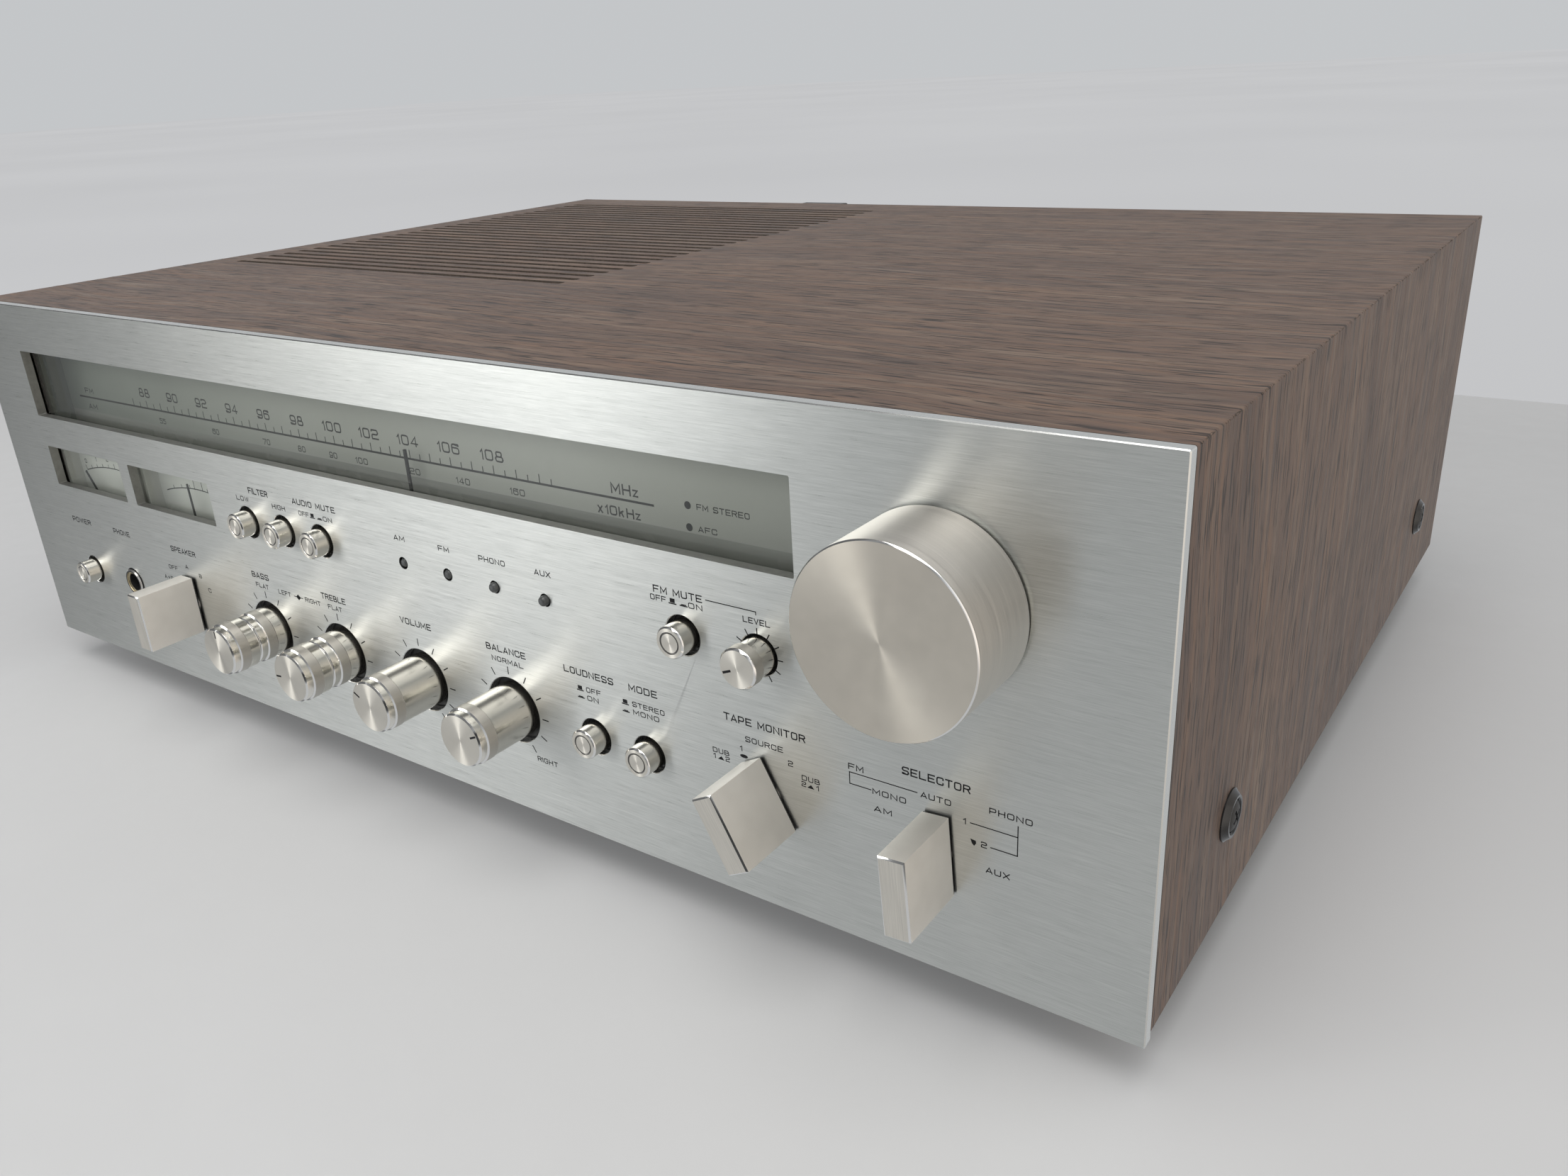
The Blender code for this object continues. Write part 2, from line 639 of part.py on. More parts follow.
def tuning_knob():
    shape = bmesh.new()
    rear = -0.7
    bore = SHAFT_RADIUS + GAP
    bore_end = -16.0
    profile = [(0.0, TUNING_FRONT), (TUNING_RADIUS - 0.6, TUNING_FRONT), (TUNING_RADIUS, TUNING_FRONT + 0.6),
               (TUNING_RADIUS, rear), (bore, rear), (bore, bore_end), (0.0, bore_end)]
    turned(shape, profile, 48)
    new_object("tuning_knob", shape, aluminium(), (TUNING_X, 0.0, TUNING_Z), smooth=True)


def tuning_shaft():
    """Shaft with the spool that the dial cord wraps around."""
    shape = bmesh.new()
    nose = -15.5
    front, rear = DRUM_Y
    rim = SPOOL_RADIUS + 1.5
    profile = [(0.0, nose), (SHAFT_RADIUS, nose), (SHAFT_RADIUS, front), (rim, front),
               (SPOOL_RADIUS, front + 2.0), (SPOOL_RADIUS, rear - 2.0), (rim, rear), (0.0, rear)]
    turned(shape, profile, 12)
    new_object("tuning_shaft", shape, plated_steel(), (TUNING_X, 0.0, TUNING_Z), smooth=True)


def flywheel():
    shape = bmesh.new()
    bore = SHAFT_RADIUS + GAP
    front, rear = FLYWHEEL_Y
    web = front + 6.0
    rim = FLYWHEEL_RADIUS - 6.0
    profile = [(bore, front), (FLYWHEEL_RADIUS, front), (FLYWHEEL_RADIUS, rear), (rim, rear), (rim, web),
               (bore, web)]
    turned(shape, profile, 24, ring=True)
    new_object("flywheel", shape, plated_steel(), (TUNING_X, 0.0, TUNING_Z), smooth=True)


def dial_drum():
    shape = bmesh.new()
    front, rear = DRUM_Y
    middle = (front + rear) / 2
    bore = SHAFT_RADIUS + GAP
    rim = DRUM_RADIUS + 1.5
    profile = [(bore, front), (rim, front), (DRUM_RADIUS, middle), (rim, rear), (bore, rear)]
    turned(shape, profile, 28, ring=True)
    cream = material("cream_plastic", (0.75, 0.71, 0.6), 0.5)
    new_object("dial_drum", shape, cream, (GANG_X, 0.0, GANG_Z), smooth=True)


def plate_pitch():
    return (GANG_Y[1] - GANG_Y[0] - 4.0) / GANG_PLATES


def tuning_gang():
    """Frame of the variable capacitor with its fixed plates, and the stub that the dial drum turns on."""
    front, rear = GANG_Y
    base = bmesh.new()
    block(base, (GANG_X - 22.0, GANG_X + 22.0), (front, rear), (38.0, 40.0))
    piece = new_object("tuning_gang", base, plated_steel())
    extras = bmesh.new()
    end_x = (GANG_X - 21.5, GANG_X + 21.5)
    end_z = (39.0, 86.0)
    block(extras, end_x, (front + 0.1, front + 2.0), end_z)
    block(extras, end_x, (rear - 2.0, rear - 0.1), end_z)
    block(extras, (89.0, 91.0), (front + 1.0, rear - 1.0), (50.0, 74.0))
    for plate in range(GANG_PLATES):
        y = front + 2.0 + plate_pitch() * (plate + 0.25)
        block(extras, (90.0, GANG_X - 4.0), (y - 0.6, y + 0.6), (46.0, 78.0))
    rod(extras, "Y", (GANG_X, 0.0, GANG_Z), SHAFT_RADIUS, (DRUM_Y[0] - 1.0, front + 1.0), 12)
    block(extras, (95.0, 125.0), (75.0, 105.0), (DECK, 39.0))
    combine(piece, "UNION", extras)


def gang_rotor():
    front, rear = GANG_Y
    shaft = bmesh.new()
    rod(shaft, "Y", (0.0, 0.0, 0.0), 2.5, (front + 2.0 + GAP, rear - 2.0 - GAP), 12)
    piece = new_object("gang_rotor", shaft, plated_steel(), (GANG_X, 0.0, GANG_Z), ROTOR_REST_DEG)
    vanes = bmesh.new()
    steps = 10
    arc = [math.pi * step / steps for step in range(steps + 1)]
    outline = [(ROTOR_RADIUS * math.cos(angle), ROTOR_RADIUS * math.sin(angle)) for angle in arc]
    for vane in range(GANG_PLATES):
        y = front + 2.0 + plate_pitch() * (vane + 0.75)
        prism(vanes, outline, "Y", (y - 0.6, y + 0.6))
    combine(piece, "UNION", vanes)


# Controls

def band_profile(front, rear):
    """Outer steps of a turned knob: chamfer, polished band, satin band and body, front to rear."""
    band = KNOB_RADIUS - 0.5
    return [(band - 0.35, front), (band, front + 0.5), (band, front + 2.5), (KNOB_RADIUS, front + 2.7),
            (KNOB_RADIUS, front + 5.8), (KNOB_RADIUS - 0.15, front + 6.0), (KNOB_RADIUS - 0.15, rear)]


def turned_knobs():
    body_rear = 2.6
    place = {name: (x, 0.0, KNOB_Z) for name, x in KNOB_X.items()}
    for name in ("volume", "balance"):
        shape = bmesh.new()
        profile = [(0.0, KNOB_FRONT), *band_profile(KNOB_FRONT, body_rear), (SHAFT_RADIUS, body_rear),
                   (SHAFT_RADIUS, SPINDLE_END), (0.0, SPINDLE_END)]
        turned(shape, profile, 20)
        new_object(f"{name}_knob", shape, aluminium(), place[name], smooth=True)
    for name in ("bass", "treble"):
        inner = bmesh.new()
        profile = [(0.0, KNOB_FRONT), *band_profile(KNOB_FRONT, KNOB_SPLIT), (1.7, KNOB_SPLIT),
                   (1.7, SPINDLE_END), (0.0, SPINDLE_END)]
        turned(inner, profile, 20)
        new_object(f"{name}_knob_front", inner, aluminium(), place[name], smooth=True)
        outer = bmesh.new()
        front = KNOB_SPLIT + GAP
        profile = [(2.0, front), *band_profile(front, body_rear), (3.1, body_rear), (3.1, 22.0), (2.0, 22.0)]
        turned(outer, profile, 20, ring=True)
        new_object(f"{name}_knob_rear", outer, aluminium(), place[name], smooth=True)


def level_knob():
    shape = bmesh.new()
    rim = LEVEL_RADIUS + 0.45
    rear = 2.6
    spindle = 1.5
    spindle_end = SWITCH_FRONT - GAP
    profile = [(0.0, LEVEL_FRONT), (rim - 0.3, LEVEL_FRONT), (rim, LEVEL_FRONT + 0.3),
               (rim, LEVEL_FRONT + 3.4), (LEVEL_RADIUS, LEVEL_FRONT + 3.6), (LEVEL_RADIUS, rear),
               (spindle, rear), (spindle, spindle_end), (0.0, spindle_end)]
    turned(shape, profile, 16)
    new_object("level_knob", shape, aluminium(), (LEVEL_X, 0.0, LEVEL_Z), smooth=True)


def bar_knobs():
    for name, (x, z, angle) in BARS.items():
        bar = bmesh.new()
        half_width = BAR_WIDTH / 2
        half_length = BAR_LENGTH / 2
        block(bar, (-half_width, half_width), (BAR_FRONT, -GAP), (-half_length, half_length))
        front_edges = [edge for edge in bar.edges if all(vert.co.y < BAR_FRONT + 1.0 for vert in edge.verts)]
        bmesh.ops.bevel(bar, geom=front_edges, offset=0.6, segments=1, affect="EDGES")
        piece = new_object(f"{name}_knob", bar, aluminium(), (x, 0.0, z), angle)
        spindle = bmesh.new()
        rod(spindle, "Y", (0.0, 0.0, 0.0), BAR_SPINDLE, (-2.0, SPINDLE_END), 12)
        combine(piece, "UNION", spindle)


def push_buttons():
    profile = [(0.0, BUTTON_FRONT), (BUTTON_RADIUS - 0.45, BUTTON_FRONT),
               (BUTTON_RADIUS, BUTTON_FRONT + 0.45), (BUTTON_RADIUS, BUTTON_REAR), (0.0, BUTTON_REAR)]
    for name, (x, z) in BUTTONS.items():
        shape = bmesh.new()
        turned(shape, profile, 16)
        new_object(f"{name}_button", shape, aluminium(), (x, 0.0, z), smooth=True)


def phones_jack():
    nose = -0.8
    floor = nose + JACK_DEPTH
    rear = floor + 2.0
    profile = [(0.0, floor), (JACK_BORE, floor), (JACK_BORE, nose), (JACK_RADIUS, nose), (JACK_RADIUS, rear),
               (0.0, rear)]
    shape = bmesh.new()
    turned(shape, profile, 16)
    new_object("phones_jack", shape, black_plastic(), (JACK_X, 0.0, JACK_Z), smooth=True)


def switch_body(shape, x, z, half, front, board_front):
    """The square body of a switch or potentiometer, let into the board that holds it."""
    block(shape, (x - half, x + half), (front, board_front + 0.8), (z - half, z + half))


def indicator_board():
    """Board of the upper row: four indicator lamps, four push switches and the level control."""
    base = bmesh.new()
    block(base, (-80.0, 134.0), INDICATOR_BOARD_Y, (60.0, 79.0))
    piece = new_object("indicator_board", base, circuit_board())
    extras = bmesh.new()
    front = INDICATOR_BOARD_Y[0]
    for x, proud in LAMPS:
        rod(extras, "Y", (x, 0.0, LAMP_Z), LAMP_RADIUS, (-proud, front + 0.8), 8)
    centres = [BUTTONS[name] for name in ("low_filter", "high_filter", "audio_mute", "fm_mute")]
    for x, z in [*centres, (LEVEL_X, LEVEL_Z)]:
        switch_body(extras, x, z, SWITCH_HALF, SWITCH_FRONT, front)
    combine(piece, "UNION", extras)


def control_board():
    """Board of the lower row: the potentiometers, rotary switches and push switches."""
    base = bmesh.new()
    block(base, (-195.0, 205.0), CONTROL_BOARD_Y, (8.0, 58.0))
    piece = new_object("control_board", base, circuit_board())
    extras = bmesh.new()
    front = CONTROL_BOARD_Y[0]
    rotary = [(x, KNOB_Z) for x in KNOB_X.values()] + [(x, z) for x, z, _ in BARS.values()]
    for x, z in rotary:
        switch_body(extras, x, z, ROTARY_HALF, SPINDLE_END + GAP, front)
    for name in ("power", "loudness", "mode"):
        x, z = BUTTONS[name]
        switch_body(extras, x, z, SWITCH_HALF, SWITCH_FRONT, front)
    combine(piece, "UNION", extras)


# Inner pieces on the chassis

def power_transformer():
    iron = material("transformer_iron", (0.08, 0.075, 0.07), 0.55, 0.4)
    core = bmesh.new()
    block(core, (-190.0, -120.0), (215.0, 275.0), (12.0, 76.0))
    piece = new_object("power_transformer", core, iron)
    extras = bmesh.new()
    block(extras, (-181.0, -129.0), (200.0, 290.0), (20.0, 68.0))
    block(extras, (-195.0, -115.0), (212.0, 278.0), (DECK, 13.0))
    combine(piece, "UNION", extras)


def heat_sink():
    """A spine with fins on one side, drawn as one comb-shaped outline."""
    spine = (-66.0, -62.0)
    fin_tip = -95.0
    fin_thick = 2.5
    pitch = 15.0
    first = 112.0
    fins = 12
    outline = [(spine[1], first)]
    for fin in range(fins):
        low = first + fin * pitch
        high = low + fin_thick
        outline += [(fin_tip, low), (fin_tip, high), (spine[0], high)]
        if fin < fins - 1:
            outline.append((spine[0], low + pitch))
    last = first + (fins - 1) * pitch + fin_thick
    outline[-1] = (spine[1], last)
    shape = bmesh.new()
    prism(shape, outline, "Z", (DECK, 92.0))
    new_object("heat_sink", shape, material("black_anodised", (0.03, 0.03, 0.035), 0.45, 0.6))


def filter_capacitors():
    sleeve = material("capacitor_blue", (0.05, 0.09, 0.2), 0.4)
    profile = [(0.0, DECK), (CAPACITOR_RADIUS, DECK), (CAPACITOR_RADIUS, CAPACITOR_TOP - 1.0),
               (CAPACITOR_RADIUS - 1.0, CAPACITOR_TOP), (0.0, CAPACITOR_TOP)]
    for number, x in enumerate(CAPACITOR_X, 1):
        shape = bmesh.new()
        turned(shape, profile, 16, "Z")
        new_object(f"filter_capacitor_{number}", shape, sleeve, (x, CAPACITOR_Y, 0.0), smooth=True)


def board(name, x, y):
    """A circuit board on four square posts."""
    base = bmesh.new()
    block(base, x, y, BOARD_Z)
    piece = new_object(name, base, circuit_board())
    extras = bmesh.new()
    inset = 8.0
    half = 3.0
    post_z = (DECK, BOARD_Z[0] + 0.8)
    for post_x in (x[0] + inset, x[1] - inset):
        for post_y in (y[0] + inset, y[1] - inset):
            block(extras, (post_x - half, post_x + half), (post_y - half, post_y + half), post_z)
    return piece, extras


def amplifier_board():
    piece, extras = board("amplifier_board", (-55.0, 40.0), (112.0, 290.0))
    combine(piece, "UNION", extras)


def tuner_board():
    """The tuner's board with the shield can over its front end."""
    piece, extras = board("tuner_board", (50.0, 200.0), (130.0, 295.0))
    block(extras, (75.0, 125.0), (145.0, 195.0), (17.0, 42.0))
    combine(piece, "UNION", extras)


def main():
    clear_scene()
    frame = bpy.data.objects.new("receiver", None)
    bpy.context.scene.collection.objects.link(frame)
    frame.location = (0.0, RECEIVER_Y * MM, PANEL_LIFT * MM)
    for build in (front_panel, sub_panel, wood_cabinet, case_screws, chassis, bottom_cover, feet, rear_panel,
                  speaker_terminals, signal_jacks, antenna_terminals, cord_gland, antenna_bracket, am_antenna,
                  windows, dial_scale, dial_pointer, meters, tuning_knob, tuning_shaft, flywheel, dial_drum,
                  tuning_gang, gang_rotor, turned_knobs, level_knob, bar_knobs, push_buttons, phones_jack,
                  indicator_board, control_board, power_transformer, heat_sink, filter_capacitors,
                  amplifier_board, tuner_board):
        build()


main()
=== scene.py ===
"""The looks of the stereo receiver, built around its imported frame.

Every size below is in millimetres in the front panel's own frame, as in part.py: X to the right as seen from
the front, Y to the rear from the panel's face, Z up from the panel's lower edge.
"""
import json
import math
import random

import bmesh
import bpy
from mathutils import Matrix, Vector


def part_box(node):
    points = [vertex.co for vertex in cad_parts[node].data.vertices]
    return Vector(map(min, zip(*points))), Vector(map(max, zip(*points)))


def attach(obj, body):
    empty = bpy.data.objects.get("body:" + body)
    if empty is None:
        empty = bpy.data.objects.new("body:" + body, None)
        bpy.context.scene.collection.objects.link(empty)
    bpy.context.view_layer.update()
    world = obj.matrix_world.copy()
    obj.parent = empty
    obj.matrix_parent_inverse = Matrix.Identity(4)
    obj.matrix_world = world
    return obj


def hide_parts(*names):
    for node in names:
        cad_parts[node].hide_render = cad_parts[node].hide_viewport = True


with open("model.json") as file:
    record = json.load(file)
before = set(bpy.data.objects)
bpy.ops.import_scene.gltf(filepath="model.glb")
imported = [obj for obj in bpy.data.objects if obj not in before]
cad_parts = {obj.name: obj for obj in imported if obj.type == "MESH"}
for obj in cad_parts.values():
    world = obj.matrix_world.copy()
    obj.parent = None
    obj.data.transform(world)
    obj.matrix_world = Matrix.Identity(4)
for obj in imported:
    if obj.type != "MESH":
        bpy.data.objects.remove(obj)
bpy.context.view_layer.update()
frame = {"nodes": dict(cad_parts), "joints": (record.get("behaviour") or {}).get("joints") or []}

MM = 0.001
CASE = "case"

low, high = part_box("front_panel")
ORIGIN = Vector(((low.x + high.x) / 2, low.y, low.z))
PANEL_WIDTH = (high.x - low.x) / MM
PANEL_HEIGHT = (high.z - low.z) / MM
PANEL_THICK = (high.y - low.y) / MM


def in_panel(corner):
    """A point of the row frame in panel millimetres."""
    return (Vector(corner) - ORIGIN) / MM


def node_box(node):
    """(low, high) corners of a CAD node in panel millimetres."""
    return tuple(in_panel(corner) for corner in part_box(node))


def node_centre(node):
    """The middle of a CAD node in panel millimetres."""
    low_corner, high_corner = node_box(node)
    return (low_corner + high_corner) / 2


# ---------------------------------------------------------------- materials

class Nodes:
    """Short ways to add nodes to one node tree."""

    def __init__(self, tree):
        self.tree = tree
        self.nodes = tree.nodes

    def add(self, kind, **settings):
        """A new shader node with its settings."""
        node = self.nodes.new(f"ShaderNode{kind}")
        for setting, value in settings.items():
            setattr(node, setting, value)
        return node

    def link(self, source, target):
        self.tree.links.new(source, target)

    def feed(self, socket, value):
        """Links another node's output to a socket, or sets the socket's constant."""
        if isinstance(value, bpy.types.NodeSocket):
            self.link(value, socket)
        else:
            socket.default_value = value

    def combine(self, operation, first, second):
        """The result of a Math node; each term is a socket or a number."""
        node = self.add("Math", operation=operation)
        self.feed(node.inputs[0], first)
        self.feed(node.inputs[1], second)
        return node.outputs[0]

    def mix(self, factor, first, second, mode="MIX"):
        """Mixes two colours, each a socket or a value."""
        node = self.add("Mix", data_type="RGBA", blend_type=mode)
        for index, value in ((0, factor), (6, first), (7, second)):
            self.feed(node.inputs[index], (*value, 1.0) if isinstance(value, tuple) else value)
        return node.outputs[2]

    def range(self, factor, low_value, high_value, start=0.3, end=0.7, **settings):
        """Takes a value between start and end to one between the low and the high value."""
        node = self.add("MapRange", **settings)
        self.link(factor, node.inputs["Value"])
        for index, value in enumerate((start, end, low_value, high_value), 1):
            node.inputs[index].default_value = value
        return node.outputs["Result"]


class Look(Nodes):
    """One Principled material."""

    def __init__(self, name, colour, roughness, metallic=0.0, **constants):
        self.material = bpy.data.materials.new(name)
        self.material.use_nodes = True
        super().__init__(self.material.node_tree)
        self.shader = self.nodes["Principled BSDF"]
        self.shader.inputs["Base Color"].default_value = (*colour, 1.0)
        self.shader.inputs["Roughness"].default_value = roughness
        self.shader.inputs["Metallic"].default_value = metallic
        for socket, value in constants.items():
            self.shader.inputs[socket.replace("_", " ")].default_value = value
        self.coordinates = self.add("TexCoord")

    def noise(self, scale, stretch=(1.0, 1.0, 1.0), detail=3.0, rough=0.5, source="Object", vector=None,
              shift=0.0):
        """Noise over coordinates that are scaled by a different amount along each axis."""
        mapping = self.add("Mapping")
        mapping.inputs["Scale"].default_value = stretch
        mapping.inputs["Location"].default_value = (shift, shift, shift)
        self.link(vector or self.coordinates.outputs[source], mapping.inputs["Vector"])
        texture = self.add("TexNoise")
        texture.inputs["Scale"].default_value = scale
        texture.inputs["Detail"].default_value = detail
        texture.inputs["Roughness"].default_value = rough
        self.link(mapping.outputs["Vector"], texture.inputs["Vector"])
        return texture.outputs["Fac"]

    def ramp(self, factor, *stops):
        """A colour or grey ramp: each stop is (position, grey or colour)."""
        ramp = self.add("ValToRGB")
        elements = ramp.color_ramp.elements
        while len(elements) < len(stops):
            elements.new(0.5)
        for element, (position, value) in zip(elements, stops):
            colour = value if isinstance(value, tuple) else (value, value, value)
            element.position = position
            element.color = (*colour, 1.0)
        self.link(factor, ramp.inputs["Fac"])
        return ramp.outputs["Color"]

    def bump(self, height, strength, distance):
        """Turns a height into a fine relief."""
        node = self.add("Bump")
        node.inputs["Strength"].default_value = strength
        node.inputs["Distance"].default_value = distance
        self.link(height, node.inputs["Height"])
        self.set("Normal", node.outputs["Normal"])

    def set(self, socket, source):
        """Feeds one of the shader's own inputs."""
        self.link(source, self.shader.inputs[socket])

    def tangent(self, **options):
        """Sets the direction in which an anisotropic metal is brushed or turned."""
        self.set("Tangent", self.add("Tangent", **options).outputs["Tangent"])

    def finish(self, grain, colours=None, roughness=None, relief=None):
        """Lets one noise drive the colour, the roughness and the relief, and returns the material."""
        if colours:
            self.set("Base Color", self.ramp(grain, (0.3, colours[0]), (0.7, colours[1])))
        if roughness:
            self.set("Roughness", self.range(grain, *roughness))
        if relief:
            self.bump(grain, *relief)
        return self.material


def brushed_panel():
    """Satin aluminium brushed along X: short fine strokes in tone, gloss and relief."""
    look = Look("brushed_aluminium", (0.62, 0.64, 0.61), 0.34, 1.0, Anisotropic=0.88)
    fine = look.noise(1.0, (120.0, 900.0, 5600.0), 4.0, 0.7)
    long = look.noise(1.0, (28.0, 400.0, 1900.0), 3.0, 0.6)
    cloud = look.noise(9.0, (1.0, 1.0, 1.6), 3.0)
    streak = look.combine("ADD", look.combine("MULTIPLY", fine, 0.65), look.combine("MULTIPLY", long, 0.35))
    tone = look.ramp(streak, (0.30, (0.51, 0.52, 0.495)), (0.5, (0.645, 0.652, 0.63)),
                     (0.70, (0.77, 0.775, 0.75)))
    shade = look.ramp(cloud, (0.3, (0.93, 0.935, 0.93)), (0.7, (1.0, 1.0, 0.99)))
    look.set("Base Color", look.mix(1.0, tone, shade, "MULTIPLY"))
    look.set("Roughness", look.range(streak, 0.25, 0.39))
    look.bump(streak, 0.25, 0.00005)
    look.tangent(direction_type="UV_MAP", uv_map="flat")
    return look.material


def plate_edge():
    """The milled edge of the front panel."""
    look = Look("plate_edge", (0.74, 0.745, 0.725), 0.3, 1.0)
    mill = look.noise(1.0, (60.0, 3000.0, 60.0), 3.0)
    return look.finish(mill, roughness=(0.16, 0.34), relief=(0.1, 0.00003))


def spun_face(name, colour, roughness):
    """The end of a turned knob: rings too fine to see, which spread highlights into radial rays."""
    look = Look(name, colour, roughness, 1.0, Anisotropic=0.97, Anisotropic_Rotation=0.25)
    look.tangent(direction_type="RADIAL", axis="Y")
    return look.finish(look.noise(160.0), (tuple(0.93 * value for value in colour), colour))


def turned_side(name, colour, low_rough, high_rough, anisotropic=0.6):
    """The side of a turned knob, with fine rings around its axis."""
    look = Look(name, colour, (low_rough + high_rough) / 2, 1.0, Anisotropic=anisotropic,
                Anisotropic_Rotation=0.25)
    look.tangent(direction_type="RADIAL", axis="Y")
    rings = look.noise(1.0, (30.0, 9000.0, 30.0), 2.0, 0.7)
    deep = tuple(0.9 * value for value in colour)
    return look.finish(rings, (deep, colour), (low_rough, high_rough), (0.08, 0.00002))


def polished():
    """Diamond-cut chamfers, nearly mirrors."""
    look = Look("polished_aluminium", (0.86, 0.85, 0.83), 0.07, 1.0)
    return look.finish(look.noise(300.0), roughness=(0.05, 0.12))


def blasted():
    """Bead-blasted flats of the bar knobs."""
    look = Look("blasted_aluminium", (0.84, 0.82, 0.79), 0.6, 1.0)
    look.finish(look.noise(120.0, detail=2.0), ((0.87, 0.845, 0.80), (0.93, 0.905, 0.86)))
    grit = look.noise(5200.0, detail=2.0, rough=0.6)
    return look.finish(grit, roughness=(0.52, 0.72), relief=(0.35, 0.00006))


def bar_front():
    """The bar knobs' front, brushed along its length."""
    look = Look("bar_front", (0.72, 0.70, 0.67), 0.35, 1.0)
    strokes = look.noise(1.0, (3500.0, 3500.0, 60.0), 3.0, 0.7)
    return look.finish(strokes, ((0.66, 0.625, 0.56), (0.84, 0.795, 0.715)), (0.28, 0.48), (0.15, 0.00004))


def walnut():
    """Open-grained walnut veneer. U runs with the grain across the top and down the sides, V to the rear."""
    look = Look("walnut_veneer", (0.13, 0.10, 0.085), 0.5, Specular_IOR_Level=0.35)
    sway = look.noise(1.0, (5.0, 9.0, 1.0), 2.0, source="UV")
    lift = look.add("CombineXYZ")
    look.link(look.range(sway, -0.006, 0.006), lift.inputs["Y"])
    wavy = look.add("VectorMath")
    look.link(lift.outputs["Vector"], wavy.inputs[0])
    look.link(look.coordinates.outputs["UV"], wavy.inputs[1])

    def stretched(along, across, detail, rough, offset=0.0):
        return look.noise(1.0, (along, across, 1.0), detail, rough, vector=wavy.outputs["Vector"], shift=offset)

    bands = stretched(1.6, 42.0, 4.0, 0.62)
    fibre = stretched(20.0, 420.0, 5.0, 0.72)
    light = stretched(14.0, 260.0, 3.0, 0.6, 7.0)
    pores = stretched(55.0, 980.0, 2.0, 0.55, 3.0)
    flecks = stretched(110.0, 1900.0, 2.0, 0.5, 11.0)
    base = look.ramp(bands, (0.25, (0.080, 0.053, 0.042)), (0.5, (0.120, 0.078, 0.058)),
                     (0.75, (0.158, 0.101, 0.069)))
    fibre_tone = look.ramp(fibre, (0.28, (0.48, 0.49, 0.52)), (0.50, (1.0, 1.0, 1.0)),
                           (0.74, (1.55, 1.46, 1.34)))
    wood = look.mix(1.0, base, fibre_tone, "MULTIPLY")
    tan = look.ramp(light, (0.50, 0.0), (0.70, 0.70))
    wood = look.mix(tan, wood, (0.205, 0.148, 0.108))
    pore_mask = look.ramp(pores, (0.38, 1.0), (0.43, 0.0))
    fleck_mask = look.ramp(flecks, (0.34, 1.0), (0.41, 0.0))
    open_grain = look.combine("MAXIMUM", pore_mask, look.combine("MULTIPLY", fleck_mask, 0.7))
    wood = look.mix(look.combine("MULTIPLY", open_grain, 0.88), wood, (0.020, 0.014, 0.012))
    look.set("Base Color", wood)
    look.set("Roughness", look.range(fibre, 0.42, 0.58))
    height = look.combine("SUBTRACT", look.combine("MULTIPLY", fibre, 0.4), open_grain)
    look.bump(height, 0.6, 0.00008)
    return look.material


def fibreboard():
    """The sleeve's core, seen at its rear edges and in the slots."""
    look = Look("fibreboard", (0.12, 0.085, 0.06), 0.85)
    fibre = look.noise(900.0, detail=4.0, rough=0.7)
    return look.finish(fibre, ((0.035, 0.026, 0.02), (0.09, 0.068, 0.052)), relief=(0.5, 0.0002))


def mottled(name, dark, light, roughness, scale=400.0, metallic=0.0, relief=0.1, depth=0.00004, **constants):
    """A plain finish with slight cloudy variation in tone and gloss, and a fine relief."""
    look = Look(name, light, roughness, metallic, **constants)
    grain = look.noise(scale, rough=0.6)
    return look.finish(grain, (dark, light), (roughness * 0.85, min(1.0, roughness * 1.15)), (relief, depth))


def dial_face():
    """The scale plate: grey, with painted shade that darkens it to green at its left end and a little at its right
    end.
    """
    look = Look("dial_face_grey_painted_shade", (0.26, 0.265, 0.25), 0.42)
    split = look.add("SeparateXYZ")
    look.link(look.coordinates.outputs["Object"], split.inputs["Vector"])
    left_end, right_end = -0.192, 0.138
    along = look.range(split.outputs["X"], 0.0, 1.0, left_end, right_end)
    # painted shade: the ramp darkens the plate strongly towards its left end and slightly towards its right end
    tone = look.ramp(along, (0.0, (0.105, 0.118, 0.106)), (0.20, (0.170, 0.180, 0.163)),
                     (0.42, (0.272, 0.276, 0.258)), (0.75, (0.300, 0.303, 0.285)), (1.0, (0.250, 0.253, 0.240)))
    cloud = look.noise(40.0)
    look.set("Base Color", look.mix(look.range(cloud, 0.0, 0.06), tone, (0.40, 0.40, 0.38)))
    look.set("Roughness", look.range(cloud, 0.38, 0.46))
    return look.material


def window_glass():
    """Clear acrylic: what is behind it shows through, with a reflection that grows towards grazing angles."""
    look = Look("window_acrylic", (1.0, 1.0, 1.0), 0.03, 0.0)
    clear = look.add("BsdfTransparent")
    clear.inputs["Color"].default_value = (0.965, 0.975, 0.955, 1.0)
    gloss = look.add("BsdfGlossy")
    gloss.inputs["Roughness"].default_value = 0.03
    gloss.inputs["Color"].default_value = (0.95, 0.95, 0.95, 1.0)
    facing = look.add("LayerWeight")
    facing.inputs["Blend"].default_value = 0.5
    steep = look.combine("POWER", facing.outputs["Facing"], 4.0)
    haze = look.noise(30.0)
    share = look.combine("ADD", look.combine("MULTIPLY", steep, 0.6), look.range(haze, 0.034, 0.040))
    mix = look.add("MixShader")
    look.link(share, mix.inputs["Fac"])
    look.link(clear.outputs["BSDF"], mix.inputs[1])
    look.link(gloss.outputs["BSDF"], mix.inputs[2])
    look.link(mix.outputs["Shader"], look.nodes["Material Output"].inputs["Surface"])
    look.nodes.remove(look.shader)
    return look.material


